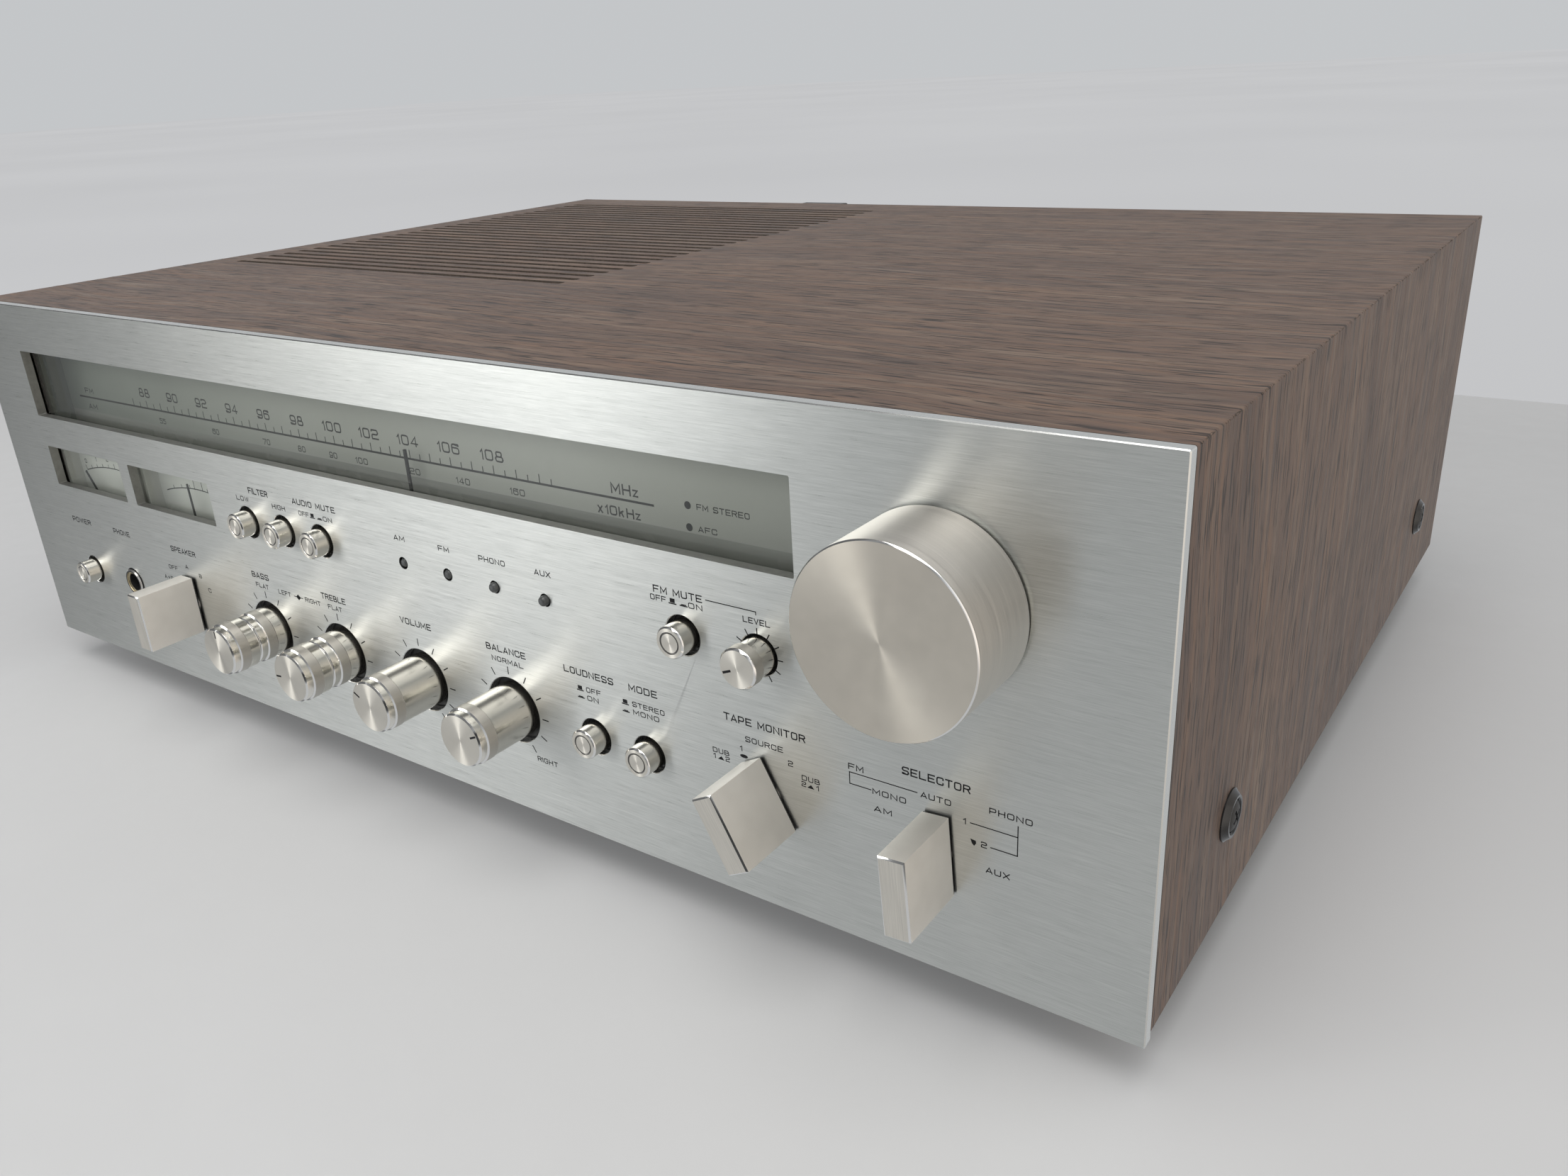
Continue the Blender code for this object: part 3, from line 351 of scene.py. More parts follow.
PANEL = brushed_panel()
EDGE = plate_edge()
# painted shade: the walls of the dial and meter cutouts are coloured dark grey
CUT_EDGE_SHADED = mottled("punched_edge_painted_shade", (0.30, 0.30, 0.285), (0.40, 0.40, 0.38), 0.5, 500.0, 1.0)
FACE = spun_face("spun_face", (0.72, 0.665, 0.575), 0.26)
SMALL_FACE = spun_face("spun_face_small", (0.88, 0.835, 0.745), 0.30)
SATIN = turned_side("satin_side", (0.95, 0.905, 0.84), 0.28, 0.42)
BAND = turned_side("satin_band", (0.62, 0.595, 0.545), 0.42, 0.55, 0.3)
BRIGHT = turned_side("bright_side", (0.84, 0.81, 0.745), 0.14, 0.22, 0.5)
MIRROR = polished()
# painted shade: the narrow ring groove of the push buttons is coloured dark
GROOVE_PAINTED_SHADE = turned_side("groove_painted_shade", (0.22, 0.215, 0.205), 0.35, 0.50)
BRASS = mottled("brass_ring", (0.36, 0.31, 0.20), (0.46, 0.40, 0.28), 0.35, 500.0, 1.0)
BLASTED = blasted()
BAR_FRONT = bar_front()
WALNUT = walnut()
BOARD_CORE = fibreboard()
INK = mottled("black_ink", (0.006, 0.006, 0.007), (0.010, 0.010, 0.011), 0.6, Specular_IOR_Level=0.2)
BLACK_PLASTIC = mottled("black_plastic_fine", (0.010, 0.010, 0.011), (0.022, 0.022, 0.023), 0.42, 900.0,
                        relief=0.2)
BLACK_GLOSS = mottled("black_gloss", (0.010, 0.010, 0.011), (0.018, 0.018, 0.019), 0.18, 500.0)
BLACK_PAINT = mottled("black_paint", (0.012, 0.012, 0.013), (0.024, 0.024, 0.025), 0.55, 1400.0, relief=0.3)
RUBBER = mottled("rubber_fine", (0.014, 0.014, 0.014), (0.028, 0.028, 0.027), 0.8, 1200.0, relief=0.4)
ZINC = mottled("zinc_plate", (0.46, 0.45, 0.40), (0.60, 0.59, 0.55), 0.38, 120.0, 1.0)
NICKEL = mottled("nickel_plate", (0.60, 0.58, 0.54), (0.72, 0.70, 0.66), 0.22, 500.0, 1.0)
LAMP = mottled("lamp_lens", (0.045, 0.048, 0.048), (0.07, 0.073, 0.072), 0.22, 700.0)
DIAL_FACE_PAINTED_SHADE = dial_face()
METER_GREY = mottled("meter_face_grey", (0.52, 0.525, 0.51), (0.56, 0.565, 0.55), 0.35, 60.0, relief=0.02)
# painted shadow: a darker grey for the band along the bottom of the dial plate
DIAL_SHADE = mottled("dial_painted_shadow_grey", (0.170, 0.173, 0.163), (0.182, 0.185, 0.174), 0.45, 40.0, relief=0.02)
LAMINATE = mottled("board_laminate", (0.20, 0.12, 0.045), (0.30, 0.19, 0.08), 0.5, 90.0)
SOLDER_MASK = mottled("board_print_side", (0.045, 0.10, 0.05), (0.07, 0.14, 0.07), 0.4, 200.0)
IRON = mottled("core_iron", (0.030, 0.028, 0.026), (0.06, 0.055, 0.05), 0.5, 300.0, 0.6)
ANODISED = mottled("black_anodised_fine", (0.012, 0.012, 0.013), (0.03, 0.03, 0.032), 0.42, 700.0, 0.4)
BLUE_SLEEVE = mottled("capacitor_sleeve", (0.01, 0.02, 0.07), (0.02, 0.04, 0.12), 0.3, 60.0)
CREAM = mottled("cream_nylon", (0.52, 0.48, 0.38), (0.62, 0.58, 0.48), 0.45, 200.0)
RED_PLASTIC = mottled("red_plastic", (0.32, 0.012, 0.01), (0.42, 0.02, 0.015), 0.35, 500.0)
WHITE_PLASTIC = mottled("white_plastic", (0.62, 0.61, 0.58), (0.72, 0.71, 0.68), 0.4, 500.0)
GLASS = window_glass()


# ---------------------------------------------------------------- mesh tools, all in millimetres

def revolve(shape, profile, sides=64, ring=False, materials=None, axis="Y", at=(0.0, 0.0, 0.0)):
    """Turns (radius, along) points about an axis. materials holds one slot for each run between two points."""
    built = bmesh.new()
    rings = []
    for radius, along in profile:
        if radius < 1e-6:
            rings.append([built.verts.new((0.0, along, 0.0))])
            continue
        turn = [2 * math.pi * side / sides for side in range(sides)]
        rings.append([built.verts.new((radius * math.sin(a), along, radius * math.cos(a))) for a in turn])
    pairs = list(zip(rings, rings[1:]))
    if ring:
        pairs.append((rings[-1], rings[0]))
    for index, (first, second) in enumerate(pairs):
        slot = materials[index] if materials else 0
        for side in range(sides):
            after = (side + 1) % sides
            if len(first) == 1 and len(second) == 1:
                continue
            if len(first) == 1:
                corners = [first[0], second[side], second[after]]
            elif len(second) == 1:
                corners = [first[side], second[0], first[after]]
            else:
                corners = [first[side], second[side], second[after], first[after]]
            built.faces.new(corners).material_index = slot
    bmesh.ops.recalc_face_normals(built, faces=built.faces[:])
    merge(shape, built, axis, at)


def turn_to(axis):
    """A rotation that takes the +Y direction to the named axis."""
    quarters = {"Y": (0.0, "Z"), "X": (-0.5, "Z"), "-X": (0.5, "Z"), "Z": (0.5, "X")}
    turns, about = quarters[axis]
    return Matrix.Rotation(turns * math.pi, 4, about)


def merge(shape, addition, axis="Y", at=(0.0, 0.0, 0.0), turn=None):
    """Turns and moves an addition, and joins it to the shape."""
    addition.transform(Matrix.Translation(at) @ (turn or Matrix.Identity(4)) @ turn_to(axis))
    scratch = bpy.data.meshes.new("scratch")
    addition.to_mesh(scratch)
    addition.free()
    shape.from_mesh(scratch)
    bpy.data.meshes.remove(scratch)


def block(shape, x, y, z, slot=0, chamfer=0.0, turn=None, about=(0.0, 0.0, 0.0)):
    """A box between the low and high values of three pairs, with its edges eased by chamfer."""
    built = bmesh.new()
    corner, opposite = Vector((x[0], y[0], z[0])), Vector((x[1], y[1], z[1]))
    place = Matrix.Translation((corner + opposite) / 2) @ Matrix.Diagonal((*(opposite - corner), 1.0))
    bmesh.ops.create_cube(built, size=1.0, matrix=place)
    if chamfer:
        bmesh.ops.bevel(built, geom=built.edges[:], offset=chamfer, segments=2, profile=0.5, affect="EDGES")
    for face in built.faces:
        face.material_index = slot
    merge(shape, built, at=about, turn=turn)


def loft(shape, loops, slots, triangles=False):
    """Joins loops of points and closes both ends. slots: the near end, each run of sides, and the far end."""
    built = bmesh.new()
    rings = [[built.verts.new(point) for point in loop] for loop in loops]
    built.faces.new(rings[0]).material_index = slots[0]
    built.faces.new(rings[-1]).material_index = slots[-1]
    for near, far, slot in zip(rings, rings[1:], slots[1:]):
        for index in range(len(near)):
            after = (index + 1) % len(near)
            built.faces.new((near[index], near[after], far[after], far[index])).material_index = slot
    if triangles:
        bmesh.ops.triangulate(built, faces=built.faces[:])
    bmesh.ops.recalc_face_normals(built, faces=built.faces[:])
    merge(shape, built)


def prism(shape, outline, axis, span, slot=0):
    """An outline pushed along an axis: its points are the other two axes' values in X, Y, Z order."""
    def place(a, b, along):
        return {"X": (along, a, b), "Y": (a, along, b), "Z": (a, b, along)}[axis]

    loft(shape, [[place(a, b, along) for a, b in outline] for along in span], (slot,) * 3)


def arc(centre, radius, start_deg, end_deg, steps):
    """Points of an arc, with angles counter-clockwise from the first axis."""
    angles = [math.radians(start_deg + (end_deg - start_deg) * step / steps) for step in range(steps + 1)]
    return [(centre[0] + radius * math.cos(a), centre[1] + radius * math.sin(a)) for a in angles]


def rounded(x, z, radius, steps=5):
    """The outline of a rectangle with rounded corners."""
    points = []
    for corner_x, corner_z, start in ((x[1], z[1], 0), (x[0], z[1], 90), (x[0], z[0], 180), (x[1], z[0], 270)):
        inset_x = corner_x - radius if corner_x == x[1] else corner_x + radius
        inset_z = corner_z - radius if corner_z == z[1] else corner_z + radius
        points += arc((inset_x, inset_z), radius, start, start + 90, steps)
    return points


def piece(name, shape, looks, at=(0.0, 0.0, 0.0), turn_deg=0.0, body=CASE, replaced=(), smooth=30.0):
    """Makes one visible piece from a shape in millimetres and lets it ride on its body."""
    shape.transform(Matrix.Scale(MM, 4))
    mesh = bpy.data.meshes.new(name)
    shape.to_mesh(mesh)
    shape.free()
    mesh.shade_smooth()
    mesh.set_sharp_from_angle(angle=math.radians(smooth))
    for look in looks:
        mesh.materials.append(look)
    made = bpy.data.objects.new(name, mesh)
    bpy.context.scene.collection.objects.link(made)
    made.location = ORIGIN + Vector(at) * MM
    made.rotation_euler = (0.0, math.radians(turn_deg), 0.0)
    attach(made, body)
    if replaced:
        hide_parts(*replaced)
    return made


def cut(made, shape):
    """Cuts a shape in panel millimetres out of a piece, and applies the result to its mesh."""
    shape.transform(Matrix.Scale(MM, 4))
    mesh = bpy.data.meshes.new("cutter")
    shape.to_mesh(mesh)
    shape.free()
    tool = bpy.data.objects.new("cutter", mesh)
    bpy.context.scene.collection.objects.link(tool)
    tool.location = made.location
    modifier = made.modifiers.new("cut", "BOOLEAN")
    modifier.object = tool
    modifier.solver = "EXACT"
    bpy.context.view_layer.update()
    result = bpy.data.meshes.new_from_object(made.evaluated_get(bpy.context.evaluated_depsgraph_get()))
    made.modifiers.clear()
    made.data = result
    bpy.data.objects.remove(tool)
    bpy.data.meshes.remove(mesh)


# ---------------------------------------------------------------- where things are, from the frame

KNOB_NODES = ("bass_knob_front", "treble_knob_front", "volume_knob", "balance_knob")
BUTTON_NAMES = ("power", "low_filter", "high_filter", "audio_mute", "fm_mute", "loudness", "mode")
JOINT_AT = {joint["child"]: in_panel(joint["pos_m"]) for joint in frame["joints"] if "pos_m" in joint}
BAR_REST_DEG = {"speaker": 0.0, "tape": -28.0, "selector": -4.0}


def joint_at(name):
    """Where the axis of a control's joint meets the panel."""
    return JOINT_AT[name].x, JOINT_AT[name].z


def centre_at(node):
    """Where the middle of a node lies on the panel."""
    return node_centre(node).x, node_centre(node).z


KNOBS = {name: joint_at(name) for name in KNOB_NODES}
BUTTONS = {name: centre_at(f"{name}_button") for name in BUTTON_NAMES}
BARS = {name: joint_at(f"{name}_knob") for name in BAR_REST_DEG}
LEVEL = joint_at("level_knob")
TUNING = joint_at("tuning")
JACK = centre_at("phones_jack")
# each lamp's x and how far its dome stands out
LAMPS = ((2.8, 0.3), (21.3, 0.6), (39.8, 1.5), (58.4, 1.8))
LAMP_Z = 68.6
SCREWS = [node for node in frame["nodes"] if node.startswith("case_screw")]

# radii of the holes in the panel
KNOB_HOLE = 9.8
BUTTON_HOLE = 5.2
BAR_HOLE = 3.2
TUNING_HOLE = 3.4
LAMP_HOLE = 1.8
# edges of the dial's and the meters' cutouts
DIAL_X = (-192.0, 137.0)
DIAL_Z = (89.7, 113.0)
METER_X = (JOINT_AT["signal_needle"].x, JOINT_AT["tuning_needle"].x)
METER_HALF = 23.75
METER_Z = (64.0, 78.5)
# how far behind the panel's front the printed faces of the meters are
METER_FACE = 9.8
# the faces of the rear panel's sheet, and of the flanges on it
REAR_SHEET = (316.9, 318.7)
FLANGE = (318.7, 320.7)
# vent slots: how many, the first one's middle, their pitch, half their width and their ends in X
VENTS, VENT_START, VENT_PITCH, VENT_HALF, VENT_X = 28, 98.5, 7.35, 1.6, (-205.0, -21.0)


# ---------------------------------------------------------------- the case

HOLE_DEPTH = 4.0


def hole(shape, at, radius, ease=0.2):
    """A cutter for a round hole whose front edge is eased."""
    wide = radius + ease
    profile = [(0.0, -1.0), (wide, -1.0), (wide, 0.0), (radius, ease), (radius, HOLE_DEPTH), (0.0, HOLE_DEPTH)]
    revolve(shape, profile, 96, materials=[1] * 5, at=(at[0], 0.0, at[1]))


def panel_plate():
    """The front panel with eased edges; the holes are cut through its finished front."""
    half = PANEL_WIDTH / 2
    ease = 0.25
    shape = bmesh.new()
    outline = rounded((-half, half), (0.0, PANEL_HEIGHT), 0.5)
    inner = rounded((-half + ease, half - ease), (ease, PANEL_HEIGHT - ease), 0.3)
    loops = [[(x, y, z) for x, z in points]
             for y, points in ((0.0, inner), (ease, outline), (PANEL_THICK, outline))]
    loft(shape, loops, (0, 1, 1, 1))
    plate = piece("panel_plate", shape, [PANEL, EDGE, CUT_EDGE_SHADED], replaced=["front_panel"])

    cuts = bmesh.new()
    through = (-1.0, PANEL_THICK + 1.0)
    prism(cuts, rounded(DIAL_X, DIAL_Z, 0.4), "Y", through, 2)
    for centre in METER_X:
        prism(cuts, rounded((centre - METER_HALF, centre + METER_HALF), METER_Z, 0.4), "Y", through, 2)
    for at in KNOBS.values():
        hole(cuts, at, KNOB_HOLE)
    for at in [*BUTTONS.values(), JACK, LEVEL]:
        hole(cuts, at, BUTTON_HOLE)
    for at in BARS.values():
        hole(cuts, at, BAR_HOLE, 0.0)
    hole(cuts, TUNING, TUNING_HOLE, 0.0)
    for x, _ in LAMPS:
        hole(cuts, (x, LAMP_Z), LAMP_HOLE, 0.05)
    cut(plate, cuts)
    flat = plate.data.uv_layers.new(name="flat")
    for loop in plate.data.loops:
        corner = plate.data.vertices[loop.vertex_index].co
        flat.data[loop.index].uv = (corner.z + 0.5 * corner.y + 0.5, corner.x + 0.5)
    plate.data.shade_flat()


def cabinet_sleeve():
    """Veneered sleeve: top and two sides, with the vent slots and the fold lines at the upper corners."""
    low_corner, high_corner = node_box("wood_cabinet")
    half, top, bottom = high_corner.x, high_corner.z, low_corner.z
    inner, ceiling, fold = half - 10.0, top - 10.0, 0.5
    outer = [(half, bottom)] + arc((half - fold, top - fold), fold, 0, 90, 3)
    outer += arc((-half + fold, top - fold), fold, 90, 180, 3) + [(-half, bottom)]
    outline = outer + [(-inner, bottom), (-inner, ceiling), (inner, ceiling), (inner, bottom)]
    shape = bmesh.new()
    prism(shape, outline, "Y", (low_corner.y, high_corner.y))
    for face in shape.faces:
        middle = face.calc_center_median()
        inside = abs(middle.x) < inner + 0.1 and middle.z < top - 0.5
        hidden = abs(face.normal.y) > 0.5 or inside or middle.z < bottom + 0.01
        face.material_index = 1 if hidden else 0
    sleeve = piece("cabinet_sleeve", shape, [WALNUT, BOARD_CORE], replaced=["wood_cabinet"],
                   smooth=50.0)

    cuts = bmesh.new()
    for row in range(VENTS):
        middle = VENT_START + VENT_PITCH * row
        outline = rounded(VENT_X, (middle - VENT_HALF, middle + VENT_HALF), 1.2, 4)
        prism(cuts, outline, "Z", (ceiling - 1.0, top + 1.0), 1)
    for side in (-1, 1):
        for node in ("case_screw_front_right", "case_screw_rear_right"):
            screw = node_centre(node)
            bore = [(0.0, 11.0), (3.2, 11.0), (3.2, -11.0), (0.0, -11.0)]
            revolve(cuts, bore, 32, materials=[1] * 3, axis="X", at=(side * half, screw.y, screw.z))
    cut(sleeve, cuts)
    grain = sleeve.data.uv_layers.new(name="grain")
    for face in sleeve.data.polygons:
        for index in face.loop_indices:
            corner = sleeve.data.vertices[sleeve.data.loops[index].vertex_index].co / MM
            if face.normal.z > 0.7:
                along = corner.x
            elif face.normal.x > 0:
                along = half + top - corner.z
            else:
                along = -half - top + corner.z
            grain.data[index].uv = ((along + 500.0) * MM, corner.y * MM)


def fold_marks():
    """Dark broken veneer along the two fold lines: thin ragged slivers lying on the corner."""
    chance = random.Random(4)
    low_corner, high_corner = node_box("wood_cabinet")
    half, top = high_corner.x, high_corner.z
    shape = bmesh.new()
    for side in (-1, 1):
        y = low_corner.y + 2.0
        while y < high_corner.y - 3.0:
            length = chance.uniform(0.8, 5.5)
            wide = chance.uniform(0.25, 0.8)
            down = chance.uniform(0.25, 1.1)
            middle = y + length / 2
            points = [(side * (half - wide), y + length * 0.3, top), (side * half, y, top - 0.15),
                      (side * half, middle, top - down), (side * half, y + length, top - 0.15),
                      (side * (half - wide * 0.7), y + length * 0.75, top)]
            centre = sum((Vector(point) for point in points), Vector()) / len(points)
            down_in = Vector((side * 0.4, 0.0, 0.4))
            sunk = [centre + (Vector(point) - centre) * 0.8 - down_in for point in points]
            loft(shape, (points, sunk), (0, 0, 0), triangles=True)
            y += length + chance.choice((0.4, 0.8, 1.5, 3.0, 6.0))
    piece("fold_marks", shape, [BOARD_CORE])


def case_screw(node):
    """Black cup washer with a cross-recessed screw head inside it."""
    low_corner, high_corner = node_box(node)
    side, axis = (1, "X") if low_corner.x > 0 else (-1, "-X")
    half = PANEL_WIDTH / 2
    at = (side * half, node_centre(node).y, node_centre(node).z)
    cup, head, proud = 6.4, 4.1, max(-low_corner.x, high_corner.x) - half
    shape = bmesh.new()
    washer = [(head + 0.1, -2.0), (cup, 0.02), (cup, 0.35), (cup - 0.5, 0.75), (head + 1.0, proud - 0.35),
              (head + 0.35, proud - 0.4), (head + 0.1, proud - 0.9)]
    revolve(shape, washer, 64, ring=True, axis=axis)
    piece(f"{node}_cup", shape, [BLACK_GLOSS], at, smooth=25.0)
    shape = bmesh.new()
    dome = [(0.0, proud - 0.02), (1.6, proud - 0.06), (2.9, proud - 0.3), (head - 0.35, proud - 0.75),
            (head, proud - 1.3), (head, proud - 2.2), (2.0, -3.0), (2.0, -14.0), (0.0, -14.0)]
    revolve(shape, dome, 64, axis=axis)
    made = piece(f"{node}_head", shape, [BLACK_PAINT], at, replaced=[node], smooth=35.0)
    plus = []
    for quarter in range(4):
        turn = Matrix.Rotation(math.radians(30 + 90 * quarter), 2)
        plus += [tuple(turn @ Vector(corner)) for corner in ((-0.45, -2.1), (0.45, -2.1), (0.45, -0.45))]
    cross = bmesh.new()
    prism(cross, plus, "X", (side * (proud - 1.6), side * (proud + 1.0)))
    cut(made, cross)


def foot(node):
    """A moulded rubber foot with a hollow for its screw and a narrow ring that touches the table."""
    low_corner, high_corner = node_box(node)
    radius = (high_corner.x - low_corner.x) / 2
    bottom, top = low_corner.z, high_corner.z
    shape = bmesh.new()
    profile = [(0.0, bottom + 5.0), (2.6, bottom + 5.0), (2.6, bottom + 1.2), (3.4, bottom + 0.6),
               (radius - 3.2, bottom + 0.6), (radius - 2.8, bottom), (radius - 2.0, bottom),
               (radius - 1.2, bottom + 0.5), (radius - 0.9, bottom + 1.6), (radius - 0.3, bottom + 11.0),
               (radius, bottom + 11.6), (radius, top - 0.4), (radius - 0.4, top), (0.0, top)]
    revolve(shape, profile, 64, axis="Z")
    centre = node_centre(node)
    piece(f"{node}_moulded", shape, [RUBBER], (centre.x, centre.y, 0.0), replaced=[node])


# ---------------------------------------------------------------- turned knobs

FACE_SLOT, MIRROR_SLOT, SIDE_SLOT, BAND_SLOT, GROOVE_SLOT = range(5)
KNOB_LOOKS = [SMALL_FACE, MIRROR, BRIGHT, BAND, GROOVE_PAINTED_SHADE]


def turned_size(node):
    """Front, rear and radius of a node turned about Y."""
    low_corner, high_corner = node_box(node)
    return low_corner.y, high_corner.y, (high_corner.x - low_corner.x) / 2


def control(name, shape, looks, centre, node, turn_deg=0.0, body=None):
    """A metal control in place of its node, at its centre on the panel."""
    at = (centre[0], 0.0, centre[1])
    piece(name, shape, looks, at, turn_deg, body or node, [node], 25.0)


def index_mark(name, centre, node, front, half_width, reach, turn_deg):
    """The black line that shows where a knob points, a little sunk into its face."""
    notch = bmesh.new()
    block(notch, (-half_width, half_width), (front - 0.015, front + 0.3), reach)
    piece(name, notch, [INK], (centre[0], 0.0, centre[1]), turn_deg, node)


def turned_knob(name, node, front, rear, spindle, mark_deg, bore=0.0):
    """A knob of the lower row with its index notch; bore makes it a ring around another knob's spindle."""
    centre = KNOBS[node.replace("rear", "front")]
    _, end, radius = turned_size(node)
    band = radius - 0.5
    profile = [(bore, front), (band - 0.42, front), (band - 0.02, front + 0.42), (band, front + 0.5),
               (band, front + 2.45), (radius, front + 2.75), (radius, front + 5.75),
               (radius - 0.15, front + 5.95), (radius - 0.15, rear - 0.3), (radius - 0.45, rear), (spindle, rear),
               (spindle, end), (bore, end)]
    slots = [FACE_SLOT, MIRROR_SLOT, MIRROR_SLOT, SIDE_SLOT, MIRROR_SLOT, BAND_SLOT, MIRROR_SLOT, SIDE_SLOT,
             MIRROR_SLOT, SIDE_SLOT, SIDE_SLOT, SIDE_SLOT, SIDE_SLOT]
    shape = bmesh.new()
    revolve(shape, profile, 128, ring=bore > 0.0, materials=slots)
    control(name, shape, KNOB_LOOKS[:4], centre, node, mark_deg or 0.0)
    if mark_deg is not None:
        index_mark(f"{name}_mark", centre, node, front, 0.28, (radius - 3.6, radius - 1.15), mark_deg)


def turned_knobs():
    """The four knobs of the lower row; bass and treble each have a front and a rear ring."""
    front, rear = node_box("volume_knob")[0].y, 2.6
    turned_knob("volume_turned", "volume_knob", front, rear, 3.0, -62.0)
    turned_knob("balance_turned", "balance_knob", front, rear, 3.0, 66.0)
    for name, mark in (("bass", 0.0), ("treble", -96.0)):
        split = node_box(f"{name}_knob_rear")[0].y
        turned_knob(f"{name}_front_turned", f"{name}_knob_front", front, split - 0.3, 1.7, mark)
        turned_knob(f"{name}_rear_turned", f"{name}_knob_rear", split, rear, 3.1, None, 2.0)


def level_knob():
    """The small muting level knob of the upper row."""
    front, end, radius = turned_size("level_knob")
    shape = bmesh.new()
    profile = [(0.0, front), (radius - 0.45, front), (radius - 0.05, front + 0.4), (radius, front + 0.5),
               (radius, front + 3.3), (radius - 0.45, front + 3.6), (radius - 0.45, 2.3), (radius - 0.8, 2.6),
               (1.5, 2.6), (1.5, end), (0.0, end)]
    slots = [FACE_SLOT, MIRROR_SLOT, MIRROR_SLOT, BAND_SLOT, MIRROR_SLOT, *[SIDE_SLOT] * 5]
    revolve(shape, profile, 96, materials=slots)
    control("level_turned", shape, KNOB_LOOKS[:4], LEVEL, "level_knob", -112.0)
    index_mark("level_mark", LEVEL, "level_knob", front, 0.3, (1.9, radius - 0.75), -112.0)


def tuning_knob():
    """The big knob: spun face, polished chamfer and a satin side."""
    front, rear, radius = turned_size("tuning_knob")
    shape = bmesh.new()
    profile = [(0.0, front), (radius - 0.32, front), (radius - 0.05, front + 0.24), (radius, front + 0.32),
               (radius, rear - 0.5), (radius - 0.5, rear), (3.3, rear), (3.3, front + 6.0), (0.0, front + 6.0)]
    slots = [FACE_SLOT, MIRROR_SLOT, MIRROR_SLOT, SIDE_SLOT, MIRROR_SLOT, SIDE_SLOT, SIDE_SLOT, SIDE_SLOT]
    revolve(shape, profile, 192, materials=slots)
    control("tuning_turned", shape, [FACE, MIRROR, SATIN], TUNING, "tuning_knob", body="tuning")


# ---------------------------------------------------------------- bars, buttons, socket and lamps

def bar_knob(name):
    """Rectangular bar: brushed front, bright eased edges, blasted sides and a black foot that paints the shade of
    the gap behind the bar.
    """
    node = f"{name}_knob"
    front, rear, ease = node_box(node)[0].y, -0.3, 0.38
    half_width, half_length = 3.25, 9.85
    loops = []
    for y, inset in ((front, ease), (front + ease, 0.0), (rear - 0.5, 0.0)):
        wide, long = half_width - inset, half_length - inset
        loops.append([(a, y, b) for a, b in rounded((-wide, wide), (-long, long), 0.12, 2)])
    shape = bmesh.new()
    loft(shape, loops, (0, 1, 2, 2))
    # painted shade: the black foot plate stands in for the shadowed gap between the bar and the panel
    wide, long = half_width - 0.15, half_length - 0.15
    block(shape, (-wide, wide), (rear - 0.5, rear), (-long, long), 3)
    revolve(shape, [(0.0, -2.0), (2.9, -2.0), (2.9, 24.2), (0.0, 24.2)], 32, materials=[3, 2, 2])
    looks = [BAR_FRONT, MIRROR, BLASTED, BLACK_PLASTIC]
    control(f"{name}_bar", shape, looks, BARS[name], node, BAR_REST_DEG[name])


def push_button(name):
    """A push button with a ring groove in its end, its groove walls painted dark as shade."""
    node = f"{name}_button"
    front, rear, radius = turned_size(node)
    groove = 2.55
    shape = bmesh.new()
    profile = [(0.0, front + 0.05), (groove - 0.12, front + 0.05), (groove, front + 0.35),
               (groove + 0.22, front + 0.35), (groove + 0.34, front), (radius - 0.4, front),
               (radius - 0.05, front + 0.35), (radius, front + 0.45), (radius, rear), (0.0, rear)]
    slots = [FACE_SLOT, GROOVE_SLOT, GROOVE_SLOT, MIRROR_SLOT, FACE_SLOT, MIRROR_SLOT, MIRROR_SLOT, SIDE_SLOT,
             SIDE_SLOT]
    revolve(shape, profile, 96, materials=slots)
    control(f"{name}_push", shape, KNOB_LOOKS, BUTTONS[name], node)


def phones_jack():
    """Socket with a black bushing, a brass ring and spring contacts in its bore."""
    nose, rear, radius = turned_size("phones_jack")
    at = (JACK[0], 0.0, JACK[1])
    shape = bmesh.new()
    profile = [(3.25, nose + 32.0), (3.25, nose + 0.6), (3.5, nose + 0.3), (3.95, nose + 0.3), (4.05, nose),
               (4.6, nose), (radius, nose + 0.5), (radius, rear), (0.0, rear), (0.0, nose + 32.0)]
    revolve(shape, profile, 96, ring=True, materials=[1, 2, 2, 2, 1, 0, 1, 1, 1, 1])
    piece("phones_socket_bush", shape, [NICKEL, BLACK_PLASTIC, BRASS], at,
          replaced=["phones_jack"], smooth=25.0)
    springs = bmesh.new()
    for turn_deg in (40, 220):
        turn = Matrix.Rotation(math.radians(turn_deg), 4, "Y")
        block(springs, (2.4, 3.2), (nose + 9.0, nose + 20.0), (-0.9, 0.9), turn=turn)
    piece("phones_contacts", springs, [NICKEL], at)


def indicator_board():
    """Upper board: laminate, switch bodies with their leads, and the four lamps."""
    low_corner, high_corner = node_box("indicator_board")
    rear = high_corner.y
    sheet = rear - 1.6
    shape = bmesh.new()
    block(shape, (low_corner.x, high_corner.x), (sheet, rear), (low_corner.z, high_corner.z), 0)
    centres = [BUTTONS[name] for name in ("low_filter", "high_filter", "audio_mute", "fm_mute")] + [LEVEL]
    for x, z in centres:
        block(shape, (x - 5.0, x + 5.0), (14.2, sheet), (z - 5.0, z + 5.0), 1, 0.4)
    for x, z in centres[:-1]:
        for lead in (-3.0, 0.0, 3.0):
            block(shape, (x + lead - 0.4, x + lead + 0.4), (rear - 1.7, rear), (z - 4.0, z - 3.2), 2)
    piece("indicator_board_built", shape, [LAMINATE, CREAM, NICKEL],
          replaced=["indicator_board"])
    lamps = bmesh.new()
    for x, proud in LAMPS:
        dome = [(0.0, -proud), (0.75, -proud + 0.12), (1.2, -proud + 0.5), (1.4, -proud + 1.0), (1.4, sheet),
                (0.0, sheet)]
        revolve(lamps, dome, 48, at=(x, 0.0, LAMP_Z))
    piece("indicator_lamps", lamps, [LAMP])


# ---------------------------------------------------------------- printing

